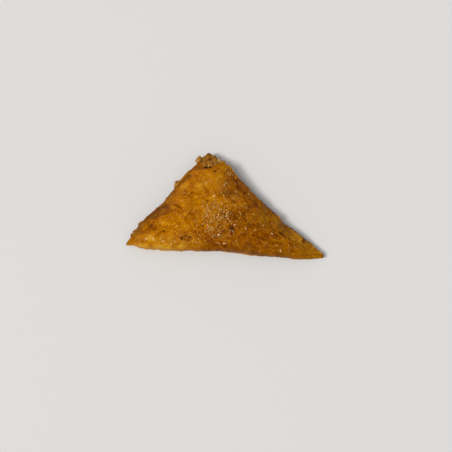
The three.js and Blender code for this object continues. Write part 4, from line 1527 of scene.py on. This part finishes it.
def makeBurntSpecks(s):
    shapes = [brokenNut(f"speckShape{i}", 340 + i, 3) for i in range(3)]
    made = []
    for i, (x, y, a, b, turn) in enumerate(s["placed"]):
        made.append(copiedTo(shapes[i % 3], (x, y, onTop(x, y) + 0.05), (a, b, s["halfThickness"]), turn))
    removed(shapes)
    return finished(joined(made, "burntSpecks"), burntMaterial("burntSkin"), 60)


specks = makeBurntSpecks(burntSpecks)
print("burnt specks made,", len(specks.data.polygons), "faces")

syrupBeads = {
    "seed": 41,
    "placed": [  # x, y, radius
        (-56.0, 8.9, 0.6), (-50.8, 8.9, 0.45), (-40.0, 8.8, 0.5), (-44.4, 6.8, 0.45), (-52.5, 4.4, 0.35),
        (-38.1, 4.7, 0.5), (-31.2, 24.8, 0.5), (-32.7, 17.7, 0.45), (-22.0, 26.9, 0.4), (-24.2, 10.7, 0.6),
        (-60.0, 3.4, 0.5), (33.9, 11.9, 0.5), (39.8, 1.0, 0.45), (39.9, -0.3, 0.5), (45.6, 3.9, 0.55),
        (50.0, 3.6, 0.45), (45.6, 6.8, 0.4), (24.9, -0.3, 0.5), (20.4, 25.7, 0.55), (27.5, 17.9, 0.5),
        (10.8, 27.2, 0.5), (-10.1, 50.6, 0.6), (-12.9, 39.7, 0.45), (-7.2, 38.9, 0.7), (-8.3, 38.2, 0.4),
        (-0.2, 46.6, 0.65), (1.3, 48.2, 0.6), (-18.9, 57.4, 0.4), (-9.3, 14.9, 0.6), (-4.4, 11.5, 0.52),
        (-1.6, 11.5, 0.4), (-10.9, 16.9, 0.45), (-4.4, 18.7, 0.4), (-18.6, 8.7, 0.6), (-20.1, 6.0, 0.55),
        (-0.9, 5.3, 0.34), (-8.0, 10.8, 0.5), (18.9, 12.1, 0.5), (15.4, 15.6, 0.4), (10.7, 30.1, 0.6),
        (3.7, 31.4, 0.5), (10.6, 22.6, 0.5), (11.1, 20.5, 0.5), (6.2, 36.5, 0.5), (-6.6, 11.2, 0.35),
    ],
    "smallest": 0.16,
    "scattered": [  # x, y, spreads, how many, largest radius
        (-5, 27, 7, 6.5, 125, 0.50),
        (-6, 13, 11, 5, 46, 0.40),
        (-30, 20, 16, 10, 50, 0.36),
        (20, 12, 18, 9, 22, 0.28),
        (-6, 44, 12, 9, 40, 0.36),
        (-48, 5, 12, 3.5, 34, 0.38),
        (44, 3, 12, 4, 16, 0.30),
    ],
    "light": (-0.40, -0.06, 0.91),  # the flat tops face half way between the light and the eye
    "eye": (0.9, -54.1, 451.3),
    "flat": 0.06,
    "colours": [(0.3, (0.50, 0.21, 0.02)), (0.7, (0.64, 0.33, 0.06))],
}


def beadMaterial(name):
    material, tree, shader, vector = newMaterial(name)
    cloud = noiseNode(tree, vector, 500, 2, 0.5)
    feed(
        tree,
        shader,
        Base_Color=ramp(tree, cloud, syrupBeads["colours"]),
        Roughness=timesPlus(tree, cloud, 0.08, 0.02, clamp=True),
        IOR=1.8,
        Specular_IOR_Level=0.8,
        Specular_Tint=(1.0, 0.86, 0.55, 1),
    )
    return material


def makeBeads(s):
    # flat lenses of syrup; each faces up and a little to the light side
    draw = random.Random(s["seed"])
    shape, smallShape = ball(3, "beadShape"), ball(2, "smallBeadShape")
    spots = list(s["placed"])
    for cx, cy, rx, ry, count, largest in s["scattered"]:
        for _ in range(count):
            x, y = draw.gauss(cx, rx), draw.gauss(cy, ry)
            if abs(x) < 66 and foldAt(x) + 2 < y < topEdgeAt(x) - 1.5:
                spots.append((x, y, mix(s["smallest"], largest, draw.random() ** 1.5)))
    made = []
    for i, (x, y, radius) in enumerate(spots):
        piece = copied(shape if i < len(s["placed"]) else smallShape)
        sizes = np.array((0.8 * radius, radius * draw.uniform(0.6, 0.85), s["flat"] * radius))
        toEye = Vector(s["eye"]) - Vector((x, y - pastry["middleY"], 15))
        tilt = toEye.normalized() + Vector(s["light"]).normalized()
        spin = np.array(tilt.to_track_quat("Z", "Y").to_matrix())
        lens = (coordsOf(piece) * sizes) @ spin.T + np.array((x, y, onTop(x, y) + 0.14 * radius))
        setCoords(piece, placed(*lens.T))
        made.append(piece)
    removed([shape, smallShape])
    return finished(joined(made, "syrupBeads"), beadMaterial("clearSyrup"))


beads = makeBeads(syrupBeads)
print("syrup beads made,", len(beads.data.polygons), "faces")

# Every piece rides on the one body.

for piece in (top, under, body, edges, flakes, specks, beads):
    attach(piece, "root")
for piece in (core, chopped, crumbs):
    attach(piece, "root")
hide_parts("phyllo")
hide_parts("filling")

view = {
    "target": (0.9, -14.9, 3),  # millimetres
    "elevation": 85,
    "distance": 450,
    "shownWidth": 452 * 0.731,  # millimetres across the view, at the target
    "sensorWidth": 36,
}


def makeCamera(v):
    camera = bpy.data.cameras.new("camera")
    holder = bpy.data.objects.new("camera", camera)
    bpy.context.scene.collection.objects.link(holder)
    elevation = math.radians(v["elevation"])
    back = Vector((0, -math.cos(elevation), math.sin(elevation)))
    holder.location = Vector(v["target"]) * mm + back * v["distance"] * mm
    holder.rotation_euler = (-back).to_track_quat("-Z", "Y").to_euler()
    camera.sensor_width = v["sensorWidth"]
    camera.lens = v["sensorWidth"] * v["distance"] / v["shownWidth"]
    camera.clip_start, camera.clip_end = 0.01, 20
    bpy.context.scene.camera = holder


makeCamera(view)

studio = {
    "world": 0.42,
    "key": {"towards": (-0.62, -0.16, 0.77), "angle": 18, "strength": 1.9},
    "spark": {"towards": (-0.40, -0.06, 0.91), "angle": 3, "strength": 0.4},
    "floorColour": (0.72, 0.71, 0.69),
}


def addSun(name, towards, angle, strength):
    deselect()
    bpy.ops.object.light_add(type="SUN", location=(0, 0, 1))
    lamp = bpy.context.object
    lamp.name = name
    lamp.data.angle = math.radians(angle)
    lamp.data.energy = strength
    lamp.rotation_euler = Vector(towards).to_track_quat("Z", "Y").to_euler()


addSun("key", **studio["key"])
addSun("spark", **studio["spark"])
world = bpy.data.worlds.new("studio")
bpy.context.scene.world = world
world.use_nodes = True
feed(world.node_tree, world.node_tree.nodes["Background"], Color=(1, 1, 1, 1), Strength=studio["world"])

deselect()
bpy.ops.mesh.primitive_plane_add(size=16, location=(0, 0, -0.0002))
floor = bpy.context.object
floor.name = "floor"
floorMaterial = bpy.data.materials.new("paleFloor")
floorMaterial.use_nodes = True
floorShader = floorMaterial.node_tree.nodes["Principled BSDF"]
feed(floorMaterial.node_tree, floorShader, Base_Color=(*studio["floorColour"], 1), Roughness=0.7)
floor.data.materials.append(floorMaterial)

bpy.context.scene.view_settings.view_transform = "Standard"
bpy.context.scene.view_settings.look = "None"
